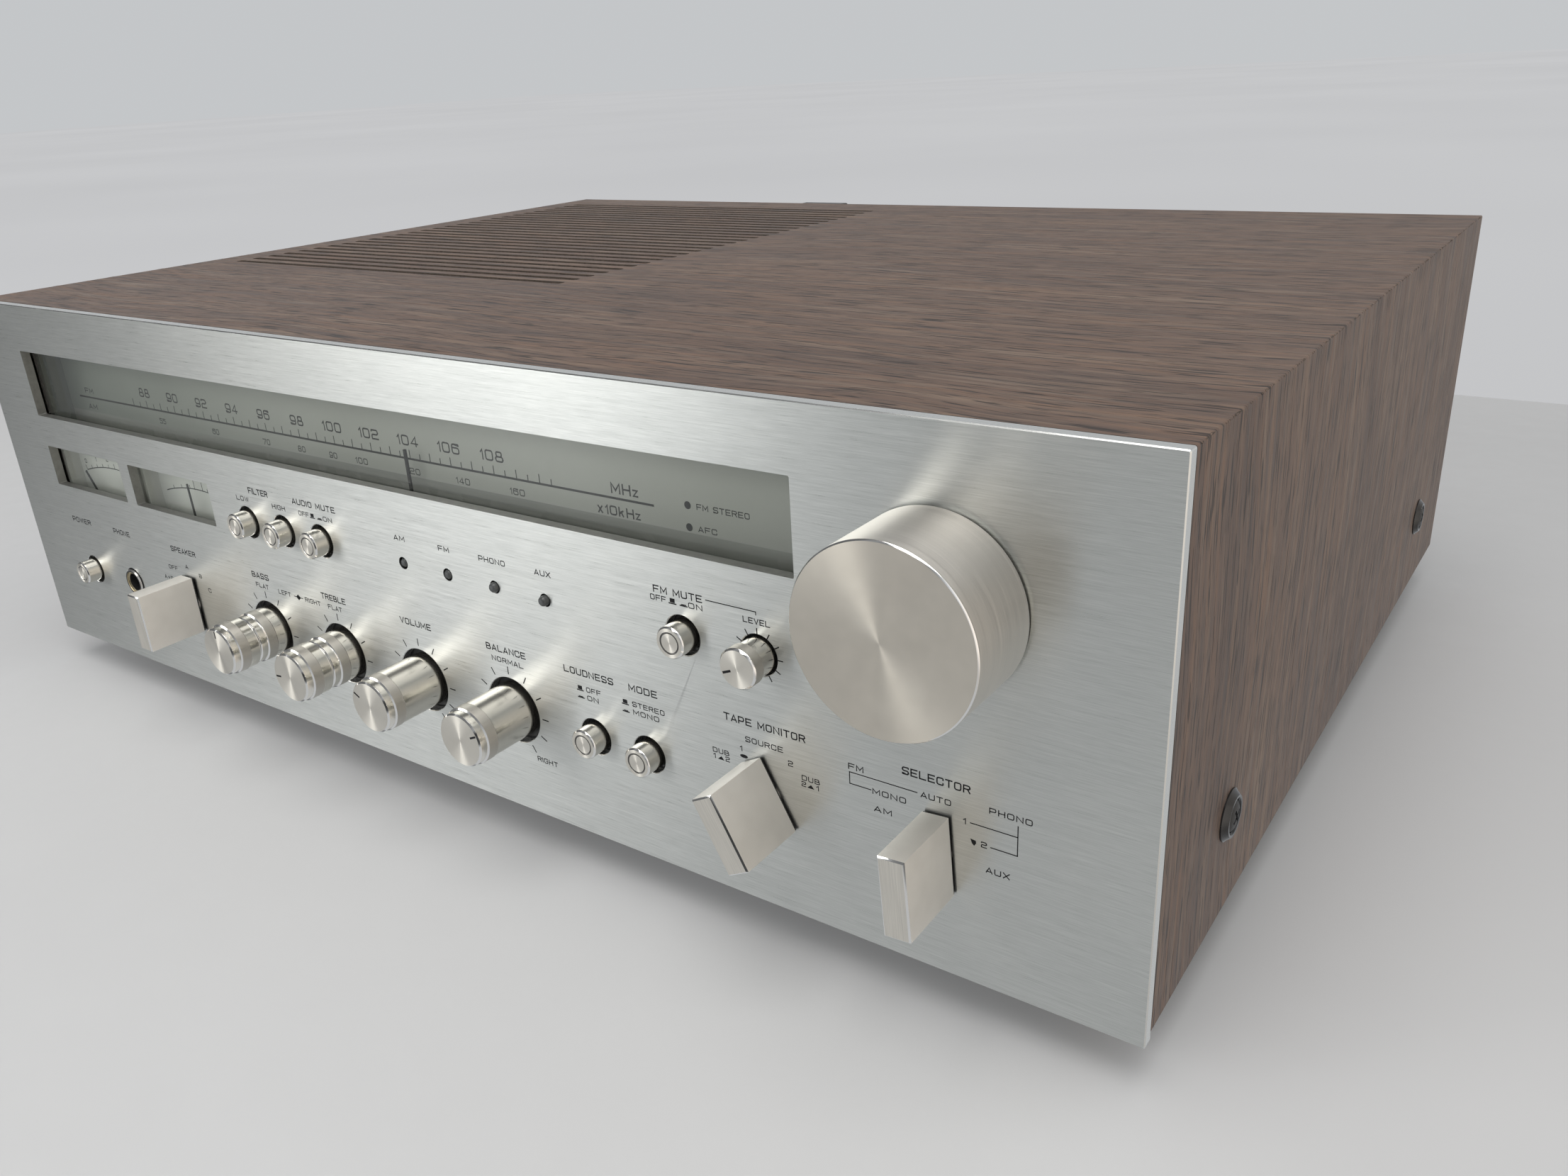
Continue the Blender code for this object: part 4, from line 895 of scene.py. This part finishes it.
# Wide square letters on a grid of 8 by 8. Each stroke is a run of points, column then row.
# A run that starts with r has round corners.
LETTERS = {
    "A": "00 48 80|12 72", "B": "00 08|r 08 78 74 04|r 04 84 80 00", "C": "r 86 88 08 00 80 82",
    "D": "00 08|r 08 88 80 00", "E": "88 08 00 80|04 74", "F": "88 08 00|04 74",
    "G": "r 87 88 08 00 80 84|84 54", "H": "00 08|80 88|04 84", "I": "00 08", "K": "00 08|88 03|35 80",
    "L": "08 00 80", "M": "00 08 42 88 80", "N": "00 08 80 88", "O": "r 48 88 80 00 08 48",
    "P": "00 08|r 08 88 83 03", "R": "00 08|r 08 88 84 04|54 80", "S": "r 87 88 08 04 84 80 00 01",
    "T": "08 88|48 40", "U": "r 08 00 80 88", "V": "08 40 88", "W": "08 20 48 60 88", "X": "08 80|00 88",
    "Z": "08 88 00 80", "0": "r 48 88 80 00 08 48", "1": "06 28 20", "2": "r 07 08 88 84 04 00|00 80",
    "3": "r 07 08 88 80 00 01|24 84", "4": "60 68 02 82", "5": "88 08 05|r 05 85 80 00 01",
    "6": "r 87 88 08 00 80 85 05", "7": "08 88 30", "8": "r 48 78 74 14 18 48|r 44 84 80 00 04 44",
    "9": "r 01 00 80 88 08 03 83", "+": "14 74|41 47", "x": "06 60|00 66", "k": "00 08|65 02|34 60",
    "z": "05 65 00 60", " ": "",
}
# widths of the letters that aren't as wide as the rest
LETTER_WIDTH = {"I": 0.0, "1": 0.25, " ": 0.45, "M": 1.15, "W": 1.25, "x": 0.8, "z": 0.75, "k": 0.8, "+": 0.9}


def round_corners(points, radius):
    """Replaces each corner inside a run of points by a short arc."""
    made = [points[0]]
    for before, corner, after in zip(points, points[1:], points[2:]):
        reach = min(radius, (before - corner).length / 2, (after - corner).length / 2)
        start = corner + (before - corner).normalized() * reach
        end = corner + (after - corner).normalized() * reach
        for step in range(5):
            share = step / 4
            made.append(start.lerp(corner, share).lerp(corner.lerp(end, share), share))
    return made + [points[-1]]


def ribbon(points, width):
    """The outline of a line of even width along a run of points."""
    sides = []
    for index, point in enumerate(points):
        into = (point - points[index - 1]).normalized() if index else None
        out = (points[index + 1] - point).normalized() if index + 1 < len(points) else None
        into, out = into or out, out or into
        across = Vector((-(into + out).y, (into + out).x)).normalized()
        stretch = 1.0 / max(0.55, across.dot(Vector((-into.y, into.x))))
        sides.append((point + across * width / 2 * stretch, point - across * width / 2 * stretch))
    start = (points[0] - points[1]).normalized() * width / 2
    end = (points[-1] - points[-2]).normalized() * width / 2
    left = [side[0] for side in sides]
    right = [side[1] for side in sides]
    left[0], right[0] = left[0] + start, right[0] + start
    left[-1], right[-1] = left[-1] + end, right[-1] + end
    return [tuple(point) for point in left + right[::-1]]


class Print:
    """Collects printed letters, lines and shapes on one plane, a hair thicker than nothing."""

    def __init__(self, plane, raised=0.012, sunk=0.05):
        self.shape = bmesh.new()
        self.near = plane - raised
        self.far = plane + sunk

    def text(self, words, x, z, width, height, weight=0.165):
        """Letters fitted to a width and the height of a capital, centred at x and z."""
        stroke = weight * height
        spans = [LETTER_WIDTH.get(letter, 1.0) for letter in words]
        gap = 0.30 + stroke / height
        unit = (width - stroke) / (sum(spans) + gap * (len(words) - 1)) if len(words) > 1 or spans[0] else 1.0
        tall = height - stroke
        start = x - width / 2 + stroke / 2
        for letter, span in zip(words, spans):
            for run in LETTERS[letter].split("|"):
                marks = run.split()
                curved = marks and marks[0] == "r"
                scale = (unit * max(span, 0.01) / 8 if letter != "1" else unit / 8, tall / 8)
                points = [Vector((start + int(mark[0]) * scale[0], z - tall / 2 + int(mark[1]) * scale[1]))
                          for mark in marks if mark != "r"]
                if len(points) < 2:
                    continue
                if curved:
                    points = round_corners(points, 0.24 * height)
                self.area(ribbon(points, stroke))
            start += (span + gap) * unit

    def line(self, x0, z0, x1, z1, width=0.25):
        """A straight line, half its width longer at both ends."""
        start, end = Vector((x0, z0)), Vector((x1, z1))
        side = (end - start).normalized().orthogonal() * (width / 2)
        along = (end - start).normalized() * (width / 2)
        corners = (start - along + side, end + along + side, end + along - side, start - along - side)
        self.area([tuple(corner) for corner in corners])

    def area(self, points):
        prism(self.shape, points, "Y", (self.near, self.far))

    def disc(self, x, z, radius, squash=1.0):
        """A round dot; squash flattens it."""
        self.area([(a, z + (b - z) * squash) for a, b in arc((x, z), radius, 0, 345, 23)])

    def ring_ticks(self, x, z, angles, inner, outer, width=0.35):
        """Radial ticks at angles measured clockwise from upright."""
        for angle in angles:
            turn = math.radians(angle)
            self.line(x + inner * math.sin(turn), z + inner * math.cos(turn), x + outer * math.sin(turn),
                      z + outer * math.cos(turn), width)

    def bar(self, x, z, half, below, above):
        """A rectangle between two heights that are measured from z."""
        self.area([(x - half, z + below), (x + half, z + below), (x + half, z + above), (x - half, z + above)])

    def button_out(self, x, z):
        """The symbol of a button standing out: a tall block on a base line."""
        self.bar(x, z, 0.75, -0.35, 0.75)
        self.bar(x, z, 1.2, -0.75, -0.42)

    def button_in(self, x, z):
        """The symbol of a button pressed in: a low block on a base line."""
        self.bar(x, z, 0.75, -0.15, 0.1)
        self.bar(x, z, 1.2, -0.5, -0.17)

    def done(self, name, look):
        piece(name, self.shape, [look], smooth=10.0)


def panel_print():
    """Words, scale ticks and symbols on the front of the panel."""
    ink = Print(0.0)
    # each word with its middle's x and z, its width and its height
    labels = [
        ("POWER", -182, 51.2, 12.8, 2.0), ("PHONE", -154.7, 51.1, 10.8, 1.9), ("SPEAKER", -115.7, 50.9, 14.8, 2.0),
        ("OFF", -124.8, 43.4, 5.5, 1.5), ("A", -115.8, 45.3, 1.7, 1.5), ("B", -108.3, 43.3, 1.6, 1.5),
        ("C", -104.5, 38.8, 1.7, 1.5), ("A+B", -129.3, 38.9, 5.6, 1.5), ("BASS", -71.8, 50.4, 9.0, 2.0),
        ("FLAT", -71.8, 47.0, 6.8, 1.6), ("LEFT", -60.0, 46.8, 6.4, 1.6), ("RIGHT", -45.6, 46.8, 7.8, 1.6),
        ("TREBLE", -34.6, 50.1, 11.8, 2.0), ("FLAT", -34.6, 46.9, 6.8, 1.6), ("VOLUME", 3.1, 50.0, 13.4, 2.0),
        ("BALANCE", 40.1, 50.0, 15.2, 2.0), ("NORMAL", 40.2, 46.7, 12.2, 1.6), ("RIGHT", 50.6, 18.5, 7.8, 1.6),
        ("LEFT", 29.2, 18.5, 6.4, 1.6), ("LOUDNESS", 70.5, 50.2, 17.3, 2.0), ("OFF", 71.7, 45.6, 5.1, 1.5),
        ("ON", 71.2, 43.2, 4.0, 1.5), ("MODE", 89.0, 50.2, 9.4, 2.0), ("STEREO", 90.3, 45.6, 10.6, 1.5),
        ("MONO", 89.3, 43.3, 8.6, 1.5), ("TAPE MONITOR", 126.1, 50.3, 23.4, 2.0),
        ("SOURCE", 125.9, 45.6, 10.9, 1.5),
        ("1", 119.0, 42.6, 0.7, 1.5), ("2", 133.3, 42.6, 1.4, 1.5), ("DUB", 112.7, 39.9, 5.0, 1.4),
        ("1", 110.6, 38.2, 0.7, 1.4), ("2", 114.6, 38.2, 1.3, 1.4), ("DUB", 138.8, 39.9, 5.0, 1.4),
        ("2", 136.8, 38.2, 1.3, 1.4), ("1", 140.6, 38.2, 0.7, 1.4), ("SELECTOR", 171.3, 50.0, 16.5, 2.0),
        ("FM", 151.2, 46.9, 4.0, 1.6), ("AUTO", 171.3, 45.3, 7.4, 1.5), ("MONO", 159.7, 42.3, 8.6, 1.5),
        ("AM", 158.0, 37.9, 4.6, 1.5), ("PHONO", 188.8, 46.5, 9.8, 1.5), ("1", 178.2, 42.0, 0.7, 1.5),
        ("2", 182.8, 37.5, 1.4, 1.5), ("AUX", 186.1, 31.5, 5.6, 1.5), ("FILTER", -62.5, 79.8, 10.0, 2.0),
        ("LOW", -71.6, 76.5, 6.6, 1.6), ("HIGH", -53.0, 76.4, 6.6, 1.6), ("AUDIO MUTE", -35.0, 79.8, 20.5, 1.9),
        ("OFF", -40.6, 76.3, 5.0, 1.5), ("ON", -29.2, 76.3, 4.2, 1.5), ("AM", 2.8, 76.1, 4.6, 1.6),
        ("FM", 21.2, 76.1, 4.4, 1.6), ("PHONO", 40.0, 76.1, 10.0, 1.6), ("AUX", 58.6, 76.1, 5.8, 1.6),
        ("FM MUTE", 103.3, 79.5, 14.8, 1.9), ("OFF", 97.2, 77.2, 4.9, 1.5), ("ON", 108.5, 77.2, 4.2, 1.5),
        ("LEVEL", 126.0, 77.2, 7.6, 1.5),
    ]
    for label in labels:
        ink.text(*label)
    for x, z in ((67.0, 45.5), (82.6, 45.5), (-36.4, 76.3), (101.6, 77.2)):
        ink.button_out(x, z)
    for x, z in ((67.0, 43.1), (82.6, 43.1), (-32.9, 76.1), (105.0, 77.0)):
        ink.button_in(x, z)
    ink.line(-55.0, 46.8, -50.6, 46.8)
    ink.area([(-54.0, 46.8), (-52.8, 45.8), (-51.6, 46.8), (-52.8, 47.8)])
    for x, z in ((112.6, 38.0), (138.7, 38.0)):
        ink.area([(x - 1.0, z - 0.45), (x + 1.0, z - 0.45), (x + 0.1, z + 0.55)])
    bends = [[(149.5, 45.4), (166.7, 45.4)], [(149.5, 45.4), (149.5, 42.4), (155.0, 42.4)],
             [(179.6, 42.0), (190.5, 42.0)], [(184.4, 37.4), (190.5, 37.4)], [(190.5, 44.7), (190.5, 37.4)],
             [(111.8, 79.6), (126.0, 79.6), (126.0, 78.9)]]
    for bend in bends:
        for start, end in zip(bend, bend[1:]):
            ink.line(*start, *end)
    for x, z in KNOBS.values():
        ink.ring_ticks(x, z, range(-150, 151, 30), 11.2, 13.2)
    ink.ring_ticks(*LEVEL, range(-150, 151, 30), 5.4, 6.7, 0.3)
    ink.disc(119.7, 40.6, 1.15, 0.42)
    ink.area([(179.6, 38.1), (180.9, 37.9), (181.0, 37.3), (180.5, 36.5), (180.0, 37.0)])
    ink.done("panel_print", INK)


def dial_print():
    """Both tuning scales on the face of the plate behind the window, and a painted shadow along the plate's lower
    edge.
    """
    face = node_box("dial_scale")[1].y - 1.2
    ink = Print(face, 0.012, 0.1)
    line_z = 94.7
    pointer_mhz, pointer_x, per_mhz = 104.0, -3.0, 8.55
    ink.line(-184.7, line_z, 86.9, line_z, 0.62)
    for step in range(48):
        frequency = 87.0 + step * 0.5
        x = pointer_x + per_mhz * (frequency - pointer_mhz)
        tall = 2.5 if step % 2 == 0 else 1.7
        ink.line(x, line_z, x, line_z + tall, 0.34)
    for frequency in range(88, 109, 2):
        width = 6.4 if frequency < 100 else 8.8
        ink.text(str(frequency), pointer_x + per_mhz * (frequency - pointer_mhz), 100.1, width, 3.1, 0.15)
    for words, x in (("55", -132.0), ("60", -100.6), ("70", -72.7), ("80", -54.6), ("90", -39.1),
                     ("100", -25.7), ("120", -2.5), ("140", 18.1), ("160", 39.3)):
        ink.text(words, x, 91.1, 1.85 * len(words), 1.9, 0.15)
    ink.text("FM", -177.5, 97.2, 5.6, 1.9)
    ink.text("AM", -177.5, 91.4, 5.8, 1.9)
    ink.text("MHz", 78.1, 97.4, 9.4, 2.9)
    ink.text("x10kHz", 75.5, 91.3, 14.6, 2.6)
    for z in (96.5, 90.9):
        ink.disc(97.9, z, 1.0)
    ink.text("FM STEREO", 108.45, 96.5, 15.7, 1.55)
    ink.text("AFC", 103.45, 90.9, 5.7, 1.5)
    ink.done("dial_print", INK)
    # painted shadow: a darker band along the bottom of the plate, under the window's lower edge
    shade = Print(face, 0.008, 0.05)
    shade.area([(-192.4, 83.6), (137.4, 83.6), (137.4, 89.5), (-192.4, 89.5)])
    shade.done("dial_painted_shadow_band", DIAL_SHADE)


def meter_print():
    """Scale arcs with their ticks on the faces of the two meters."""
    low_z, radius = -4.0, 74.0
    for name, centre in zip(("signal", "tuning"), METER_X):
        ink = Print(METER_FACE, 0.012, 0.1)
        points = arc((centre, low_z), radius, 74, 106, 24)
        for start, end in zip(points, points[1:]):
            ink.line(*start, *end, 0.35)
        if name == "signal":
            for tick in range(0, 11):
                angle = 16.0 - tick * 3.2
                ink.ring_ticks(centre, low_z, [-angle], radius, radius + (1.8 if tick % 5 == 0 else 1.1), 0.3)
            for words, angle in (("0", -15.0), ("1", -9.0), ("2", -3.0), ("3", 3.5), ("4", 9.5), ("5", 15.0)):
                turn = math.radians(angle)
                width, reach = 0.6 if words == "1" else 1.4, radius + 3.2
                ink.text(words, centre + reach * math.sin(turn), low_z + reach * math.cos(turn), width, 1.7)
        else:
            for angle in (-12.0, -8.0, -4.0, 4.0, 8.0, 12.0):
                ink.ring_ticks(centre, low_z, [angle], radius, radius + 1.1, 0.3)
            ink.line(centre - 2.4, 73.2, centre + 2.4, 73.2, 0.3)
            ink.line(centre - 2.4, 73.2, centre - 2.4, 69.8, 0.3)
            ink.line(centre + 2.4, 73.2, centre + 2.4, 69.8, 0.3)
        ink.done(f"{name}_meter_print", INK)


# ---------------------------------------------------------------- the rear

def flanged(x, z, base):
    """A flange on the rear panel and its housing, which is 4 mm smaller all round and reaches in to base."""
    shape = bmesh.new()
    block(shape, x, FLANGE, z, 0, 0.4)
    block(shape, (x[0] + 4.0, x[1] - 4.0), (base, FLANGE[0]), (z[0] + 4.0, z[1] - 4.0), 0)
    return shape


def rear_terminals():
    """Speaker push terminals, phono sockets and aerial screws on their flanges."""
    shape = flanged((-165.0, -75.0), (20.0, 54.0), node_box("speaker_terminals")[0].y)
    for column in range(6):
        x = -153.0 + 13.2 * column
        for z in (30.0, 44.0):
            block(shape, (x - 3.5, x + 3.5), (320.7, 321.6), (z - 5.2, z + 4.0), 0, 0.2)
            block(shape, (x - 2.8, x + 2.8), (321.6, 325.7), (z - 0.5, z + 3.0), 1 - column % 2, 0.5)
            revolve(shape, [(0.9, 321.0), (1.8, 321.0), (1.8, 322.2), (0.9, 322.2)], 32, ring=True,
                    materials=[2] * 4, at=(x, 0.0, z - 3.0))
    piece("speaker_terminals_built", shape, [BLACK_PLASTIC, RED_PLASTIC, BLACK_GLOSS],
          replaced=["speaker_terminals"])

    shape = flanged((40.0, 160.0), (26.0, 74.0), 300.4)
    post = [(1.6, 328.7), (3.2, 328.7), (4.15, 328.2), (4.15, 321.0), (6.2, 320.9), (6.2, 320.6), (1.6, 320.6)]
    collar = [(1.65, 328.5), (3.0, 328.5), (3.0, 321.0), (1.65, 321.0)]
    for column in range(6):
        x = 54.0 + 18.4 * column
        for z, colour in ((40.0, 2), (60.0, 3)):
            revolve(shape, post, 48, ring=True, materials=[1] * 7, at=(x, 0.0, z))
            revolve(shape, collar, 32, ring=True, materials=[colour] * 4, at=(x, 0.0, z))
    piece("signal_jacks_built", shape, [BLACK_PLASTIC, NICKEL, RED_PLASTIC, WHITE_PLASTIC],
          replaced=["signal_jacks"])

    shape = flanged((60.0, 130.0), (76.0, 96.0), 306.4)
    screw = [(0.0, 324.6), (2.2, 324.6), (3.1, 324.0), (3.1, 322.6), (4.6, 322.5), (4.6, 320.6), (0.0, 320.6)]
    for column in range(4):
        x = 71.0 + 16.0 * column
        revolve(shape, screw, 40, materials=[1] * 6, at=(x, 0.0, 86.0))
        block(shape, (x - 2.4, x + 2.4), (324.5, 324.7), (85.65, 86.35), 2)
        for side in (-6.6, 6.6):
            block(shape, (x + side - 0.5, x + side + 0.5), (320.6, 323.6), (79.5, 92.5), 0, 0.15)
    piece("antenna_terminals_built", shape, [BLACK_PLASTIC, NICKEL, INK],
          replaced=["antenna_terminals"])


def cord_gland():
    """The strain relief of the power cord, gripping the rear panel's sheet in a groove."""
    low_corner, high_corner = node_box("cord_gland")
    front, rear = low_corner.y, high_corner.y
    x, z = centre_at("cord_gland")
    inner, outer = REAR_SHEET
    shape = bmesh.new()
    profile = [(3.6, front), (7.6, front), (8.0, front + 0.4), (8.0, inner), (6.0, inner), (6.0, outer),
               (8.0, outer), (8.0, rear - 1.0), (7.0, rear), (4.4, rear), (3.6, rear - 0.8)]
    revolve(shape, profile, 64, ring=True)
    piece("cord_gland_moulded", shape, [RUBBER], (x, 0.0, z), replaced=["cord_gland"])


def loop_antenna():
    """Bar antenna: a hinge bracket on the rear panel and a rod with end caps."""
    bracket = bmesh.new()
    base, rear = REAR_SHEET[1], 346.0
    outline = [(base, 92.0), *arc((rear - 3.0, 95.0), 3.0, -90, 0, 5), (rear, 97.6), (base + 2.5, 98.0),
               (base + 2.5, 112.0), (rear, 112.0), *arc((rear - 3.0, 124.0), 3.0, 0, 90, 5), (323.2, 127.0),
               (322.2, 126.0), (322.2, 118.6), (base, 118.6)]
    prism(bracket, outline, "X", (-88.0, -64.0))
    rims = [edge for edge in bracket.edges if abs(edge.verts[0].co.x - edge.verts[1].co.x) < 0.01]
    bmesh.ops.bevel(bracket, geom=rims, offset=0.35, segments=2, affect="EDGES")
    piece("antenna_bracket_moulded", bracket, [BLACK_PLASTIC],
          replaced=["antenna_bracket"])
    hub = JOINT_AT["antenna"]
    low_corner, high_corner = node_box("am_antenna")
    reach = high_corner.x - hub.x
    tall = (high_corner.z - low_corner.z) / 2
    rod = bmesh.new()
    hinge = [(0.0, -tall), (5.4, -tall), (6.0, -tall + 0.5), (6.0, tall - 0.5), (5.4, tall), (0.0, tall)]
    revolve(rod, hinge, 64, axis="Z")
    barrel = [(0.0, 1.0), (5.1, 1.0), (5.1, 10.0), (5.5, 10.4), (5.5, 15.0), (4.9, 15.4), (4.9, reach - 13.4),
              (5.5, reach - 13.0), (5.5, reach - 1.2), (4.4, reach), (0.0, reach)]
    revolve(rod, barrel, 64, axis="X")
    piece("antenna_rod_moulded", rod, [BLACK_PLASTIC], tuple(hub), body="antenna",
          replaced=["am_antenna"])


# ---------------------------------------------------------------- finishes of the pieces kept as they are

KEPT_LOOKS = {
    BLACK_PAINT: ["sub_panel", "bottom_cover", "rear_panel"],
    ZINC: ["chassis", "flywheel", "tuning_shaft", "tuning_gang"],
    NICKEL: ["gang_rotor"],
    INK: ["dial_pointer", "signal_needle", "tuning_needle"],
    DIAL_FACE_PAINTED_SHADE: ["dial_scale"],
    METER_GREY: ["signal_meter", "tuning_meter"],
    CREAM: ["dial_drum"],
    LAMINATE: ["control_board"],
    SOLDER_MASK: ["amplifier_board", "tuner_board"],
    IRON: ["power_transformer"],
    ANODISED: ["heat_sink"],
    BLUE_SLEEVE: ["filter_capacitor_1", "filter_capacitor_2"],
    GLASS: ["dial_window", "meter_window"],
}


def finish_kept_nodes():
    """Gives the CAD nodes that stay visible their looks."""
    for look, nodes in KEPT_LOOKS.items():
        for node in nodes:
            kept = frame["nodes"][node]
            kept.data.materials.clear()
            kept.data.materials.append(look)


# ---------------------------------------------------------------- table, lights and camera

def stage_set():
    """A pale table, and the pale ground beyond it that reads as the wall behind."""
    table = Look("pale_table", (0.56, 0.565, 0.57), 0.5)
    tone = table.noise(2.2)
    scuff = table.noise(60.0, detail=4.0, rough=0.6)
    table.set("Base Color", table.ramp(tone, (0.35, (0.520, 0.523, 0.528)), (0.65, (0.550, 0.553, 0.558))))
    table.set("Roughness", table.range(scuff, 0.42, 0.56))
    beyond = Look("pale_beyond", (0.0, 0.0, 0.0), 1.0, Specular_IOR_Level=0.0, Emission_Strength=1.0)
    cloud = beyond.noise(0.8, detail=2.0)
    beyond.set("Emission Color", beyond.ramp(cloud, (0.3, (0.545, 0.550, 0.562)), (0.7, (0.575, 0.580, 0.592))))
    edge_y = ORIGIN.y + 628.0 * MM
    bend = [(-3.0, edge_y - 0.9), (-0.6, edge_y), (3.0, edge_y)]
    top = [(-3.0, -3.0), (3.0, -3.0), *reversed(bend)]
    ground = [(-12.0, edge_y - 0.9), *bend, (12.0, edge_y), (12.0, 12.0), (-12.0, 12.0)]
    for name, outline, look in (("table_top", top, table), ("ground_beyond", ground, beyond)):
        mesh = bpy.data.meshes.new(name)
        mesh.from_pydata([(x, y, 0.0) for x, y in outline], [], [tuple(range(len(outline)))])
        mesh.materials.append(look.material)
        made = bpy.data.objects.new(name, mesh)
        made.visible_glossy = False  # the metal mirrors the room's own lower half, not an endless bright table
        bpy.context.scene.collection.objects.link(made)


def area_light(name, at, target, size, power, colour=(1.0, 1.0, 1.0)):
    """A rectangular lamp that faces a target."""
    light = bpy.data.lights.new(name, "AREA")
    light.shape = "RECTANGLE"
    light.size, light.size_y = size
    light.energy = power
    light.color = colour
    made = bpy.data.objects.new(name, light)
    made.location = at
    made.rotation_euler = (Vector(target) - Vector(at)).to_track_quat("-Z", "Y").to_euler()
    bpy.context.scene.collection.objects.link(made)
    return made


# strengths of the window, of the whole room and of the wall behind the receiver
WINDOW_GLOW, ROOM_STRENGTH, WALL_GLOW = 1.25, 0.70, 0.58


def room_light():
    """The room around the table: pale overhead, a window to the front left, darker to the front right."""
    world = bpy.data.worlds.new("room")
    world.use_nodes = True
    room = Nodes(world.node_tree)
    background = room.nodes["Background"]
    direction = room.add("TexCoord").outputs["Generated"]

    def between(value, start, end, low_value=0.0, high_value=1.0):
        """Goes smoothly from one value at start to the other at end."""
        return room.range(value, low_value, high_value, start, end, interpolation_type="SMOOTHSTEP")

    def towards(azimuth_deg, elevation_deg, near, far, flatten=1.0):
        """1 inside a soft spot of the sky, 0 outside: azimuth runs from the front (0) to the left (90)."""
        squeeze = room.add("VectorMath", operation="MULTIPLY")
        squeeze.inputs[1].default_value = (1.0, 1.0, flatten)
        room.link(direction, squeeze.inputs[0])
        unit = room.add("VectorMath", operation="NORMALIZE")
        room.link(squeeze.outputs["Vector"], unit.inputs[0])
        azimuth, elevation = math.radians(azimuth_deg), math.radians(elevation_deg)
        aim = Vector((-math.sin(azimuth) * math.cos(elevation), -math.cos(azimuth) * math.cos(elevation),
                      flatten * math.sin(elevation))).normalized()
        dot = room.add("VectorMath", operation="DOT_PRODUCT")
        dot.inputs[1].default_value = aim
        room.link(unit.outputs["Vector"], dot.inputs[0])
        return between(dot.outputs["Value"], math.cos(math.radians(far)), math.cos(math.radians(near)))

    def spot(strength, *place):
        return room.combine("MULTIPLY", towards(*place), strength)

    def shade(strength, *place):
        """1 away from a spot, less by a strength inside it."""
        return room.combine("SUBTRACT", 1.0, spot(strength, *place))

    split = room.add("SeparateXYZ")
    room.link(direction, split.inputs["Vector"])
    glow = between(split.outputs["Z"], -0.25, 0.25, 0.80, 0.52)
    person = shade(0.88, -40.0, 2.0, 9.0, 19.0, 0.6)
    corner = shade(0.62, 92.0, 8.0, 20.0, 35.0, 0.2)
    front = shade(0.45, 15.0, 40.0, 10.0, 42.0)
    for dark in (person, corner, front):
        glow = room.combine("MULTIPLY", glow, dark)
    panes = spot(WINDOW_GLOW, 45.5, 7.0, 5.0, 13.0, 0.42)
    window = room.combine("ADD", panes, spot(0.30, 42.0, 8.0, 6.0, 19.0, 0.5))
    right_room = spot(1.1, -95.0, 18.0, 25.0, 60.0)
    glow = room.combine("ADD", room.combine("ADD", glow, window), right_room)
    glow = room.combine("MULTIPLY", glow, ROOM_STRENGTH)
    behind = between(split.outputs["Y"], 0.05, 0.30)
    wall = room.combine("MULTIPLY", behind, between(split.outputs["Z"], 0.75, 0.35))
    open_room = room.combine("MULTIPLY", glow, room.combine("SUBTRACT", 1.0, wall))
    glow = room.combine("ADD", open_room, room.combine("MULTIPLY", wall, WALL_GLOW))
    glow = room.combine("ADD", glow, spot(0.20, -130.0, 10.0, 15.0, 38.0))
    room.link(glow, background.inputs["Strength"])
    colour = room.mix(towards(-100.0, 0.0, 25.0, 62.0), (0.95, 0.975, 1.0), (1.0, 0.92, 0.83))
    room.link(colour, background.inputs["Color"])
    bpy.context.scene.world = world


def light_set():
    """The room, the ceiling lamp, the window and a weak fill from the front."""
    room_light()
    area_light("ceiling_light", (0.25, -0.6, 2.2), (0.0, -0.05, 0.0), (1.8, 1.8), 30.0, (1.0, 0.985, 0.965))
    area_light("window_light", (-1.27, -1.31, 0.62), (0.0, -0.15, 0.06), (0.7, 0.9), 7.0, (1.0, 0.99, 0.96))
    fill = area_light("front_fill", (-0.1, -1.25, 0.55), (0.0, -0.2, 0.0), (1.6, 0.7), 7.5)
    fill.visible_glossy = False
    bpy.context.scene.view_settings.view_transform = "Standard"


def camera_set():
    """The camera stands to the right in front of the panel and looks down across it."""
    camera = bpy.data.cameras.new("camera")
    camera.sensor_width = 36.0
    camera.lens = 28.566
    camera.clip_start = 0.01
    made = bpy.data.objects.new("camera", camera)
    right = Vector((0.82011, 0.56991, -0.05122))
    up = Vector((-0.1826, 0.3455, 0.9205))
    forward = Vector((-0.54230, 0.74556, -0.38736))
    axes = Matrix((right, up, -forward)).transposed()
    made.rotation_euler = axes.to_euler()
    made.location = ORIGIN + Vector((281.105, -201.926, 191.981)) * MM
    bpy.context.scene.collection.objects.link(made)
    bpy.context.scene.camera = made


panel_plate()
cabinet_sleeve()
fold_marks()
for screw_node in SCREWS:
    case_screw(screw_node)
for foot_node in [node for node in frame["nodes"] if node.startswith("foot_")]:
    foot(foot_node)
turned_knobs()
level_knob()
tuning_knob()
for bar_name in BARS:
    bar_knob(bar_name)
for button_name in BUTTONS:
    push_button(button_name)
phones_jack()
indicator_board()
panel_print()
dial_print()
meter_print()
rear_terminals()
cord_gland()
loop_antenna()
finish_kept_nodes()
stage_set()
light_set()
camera_set()
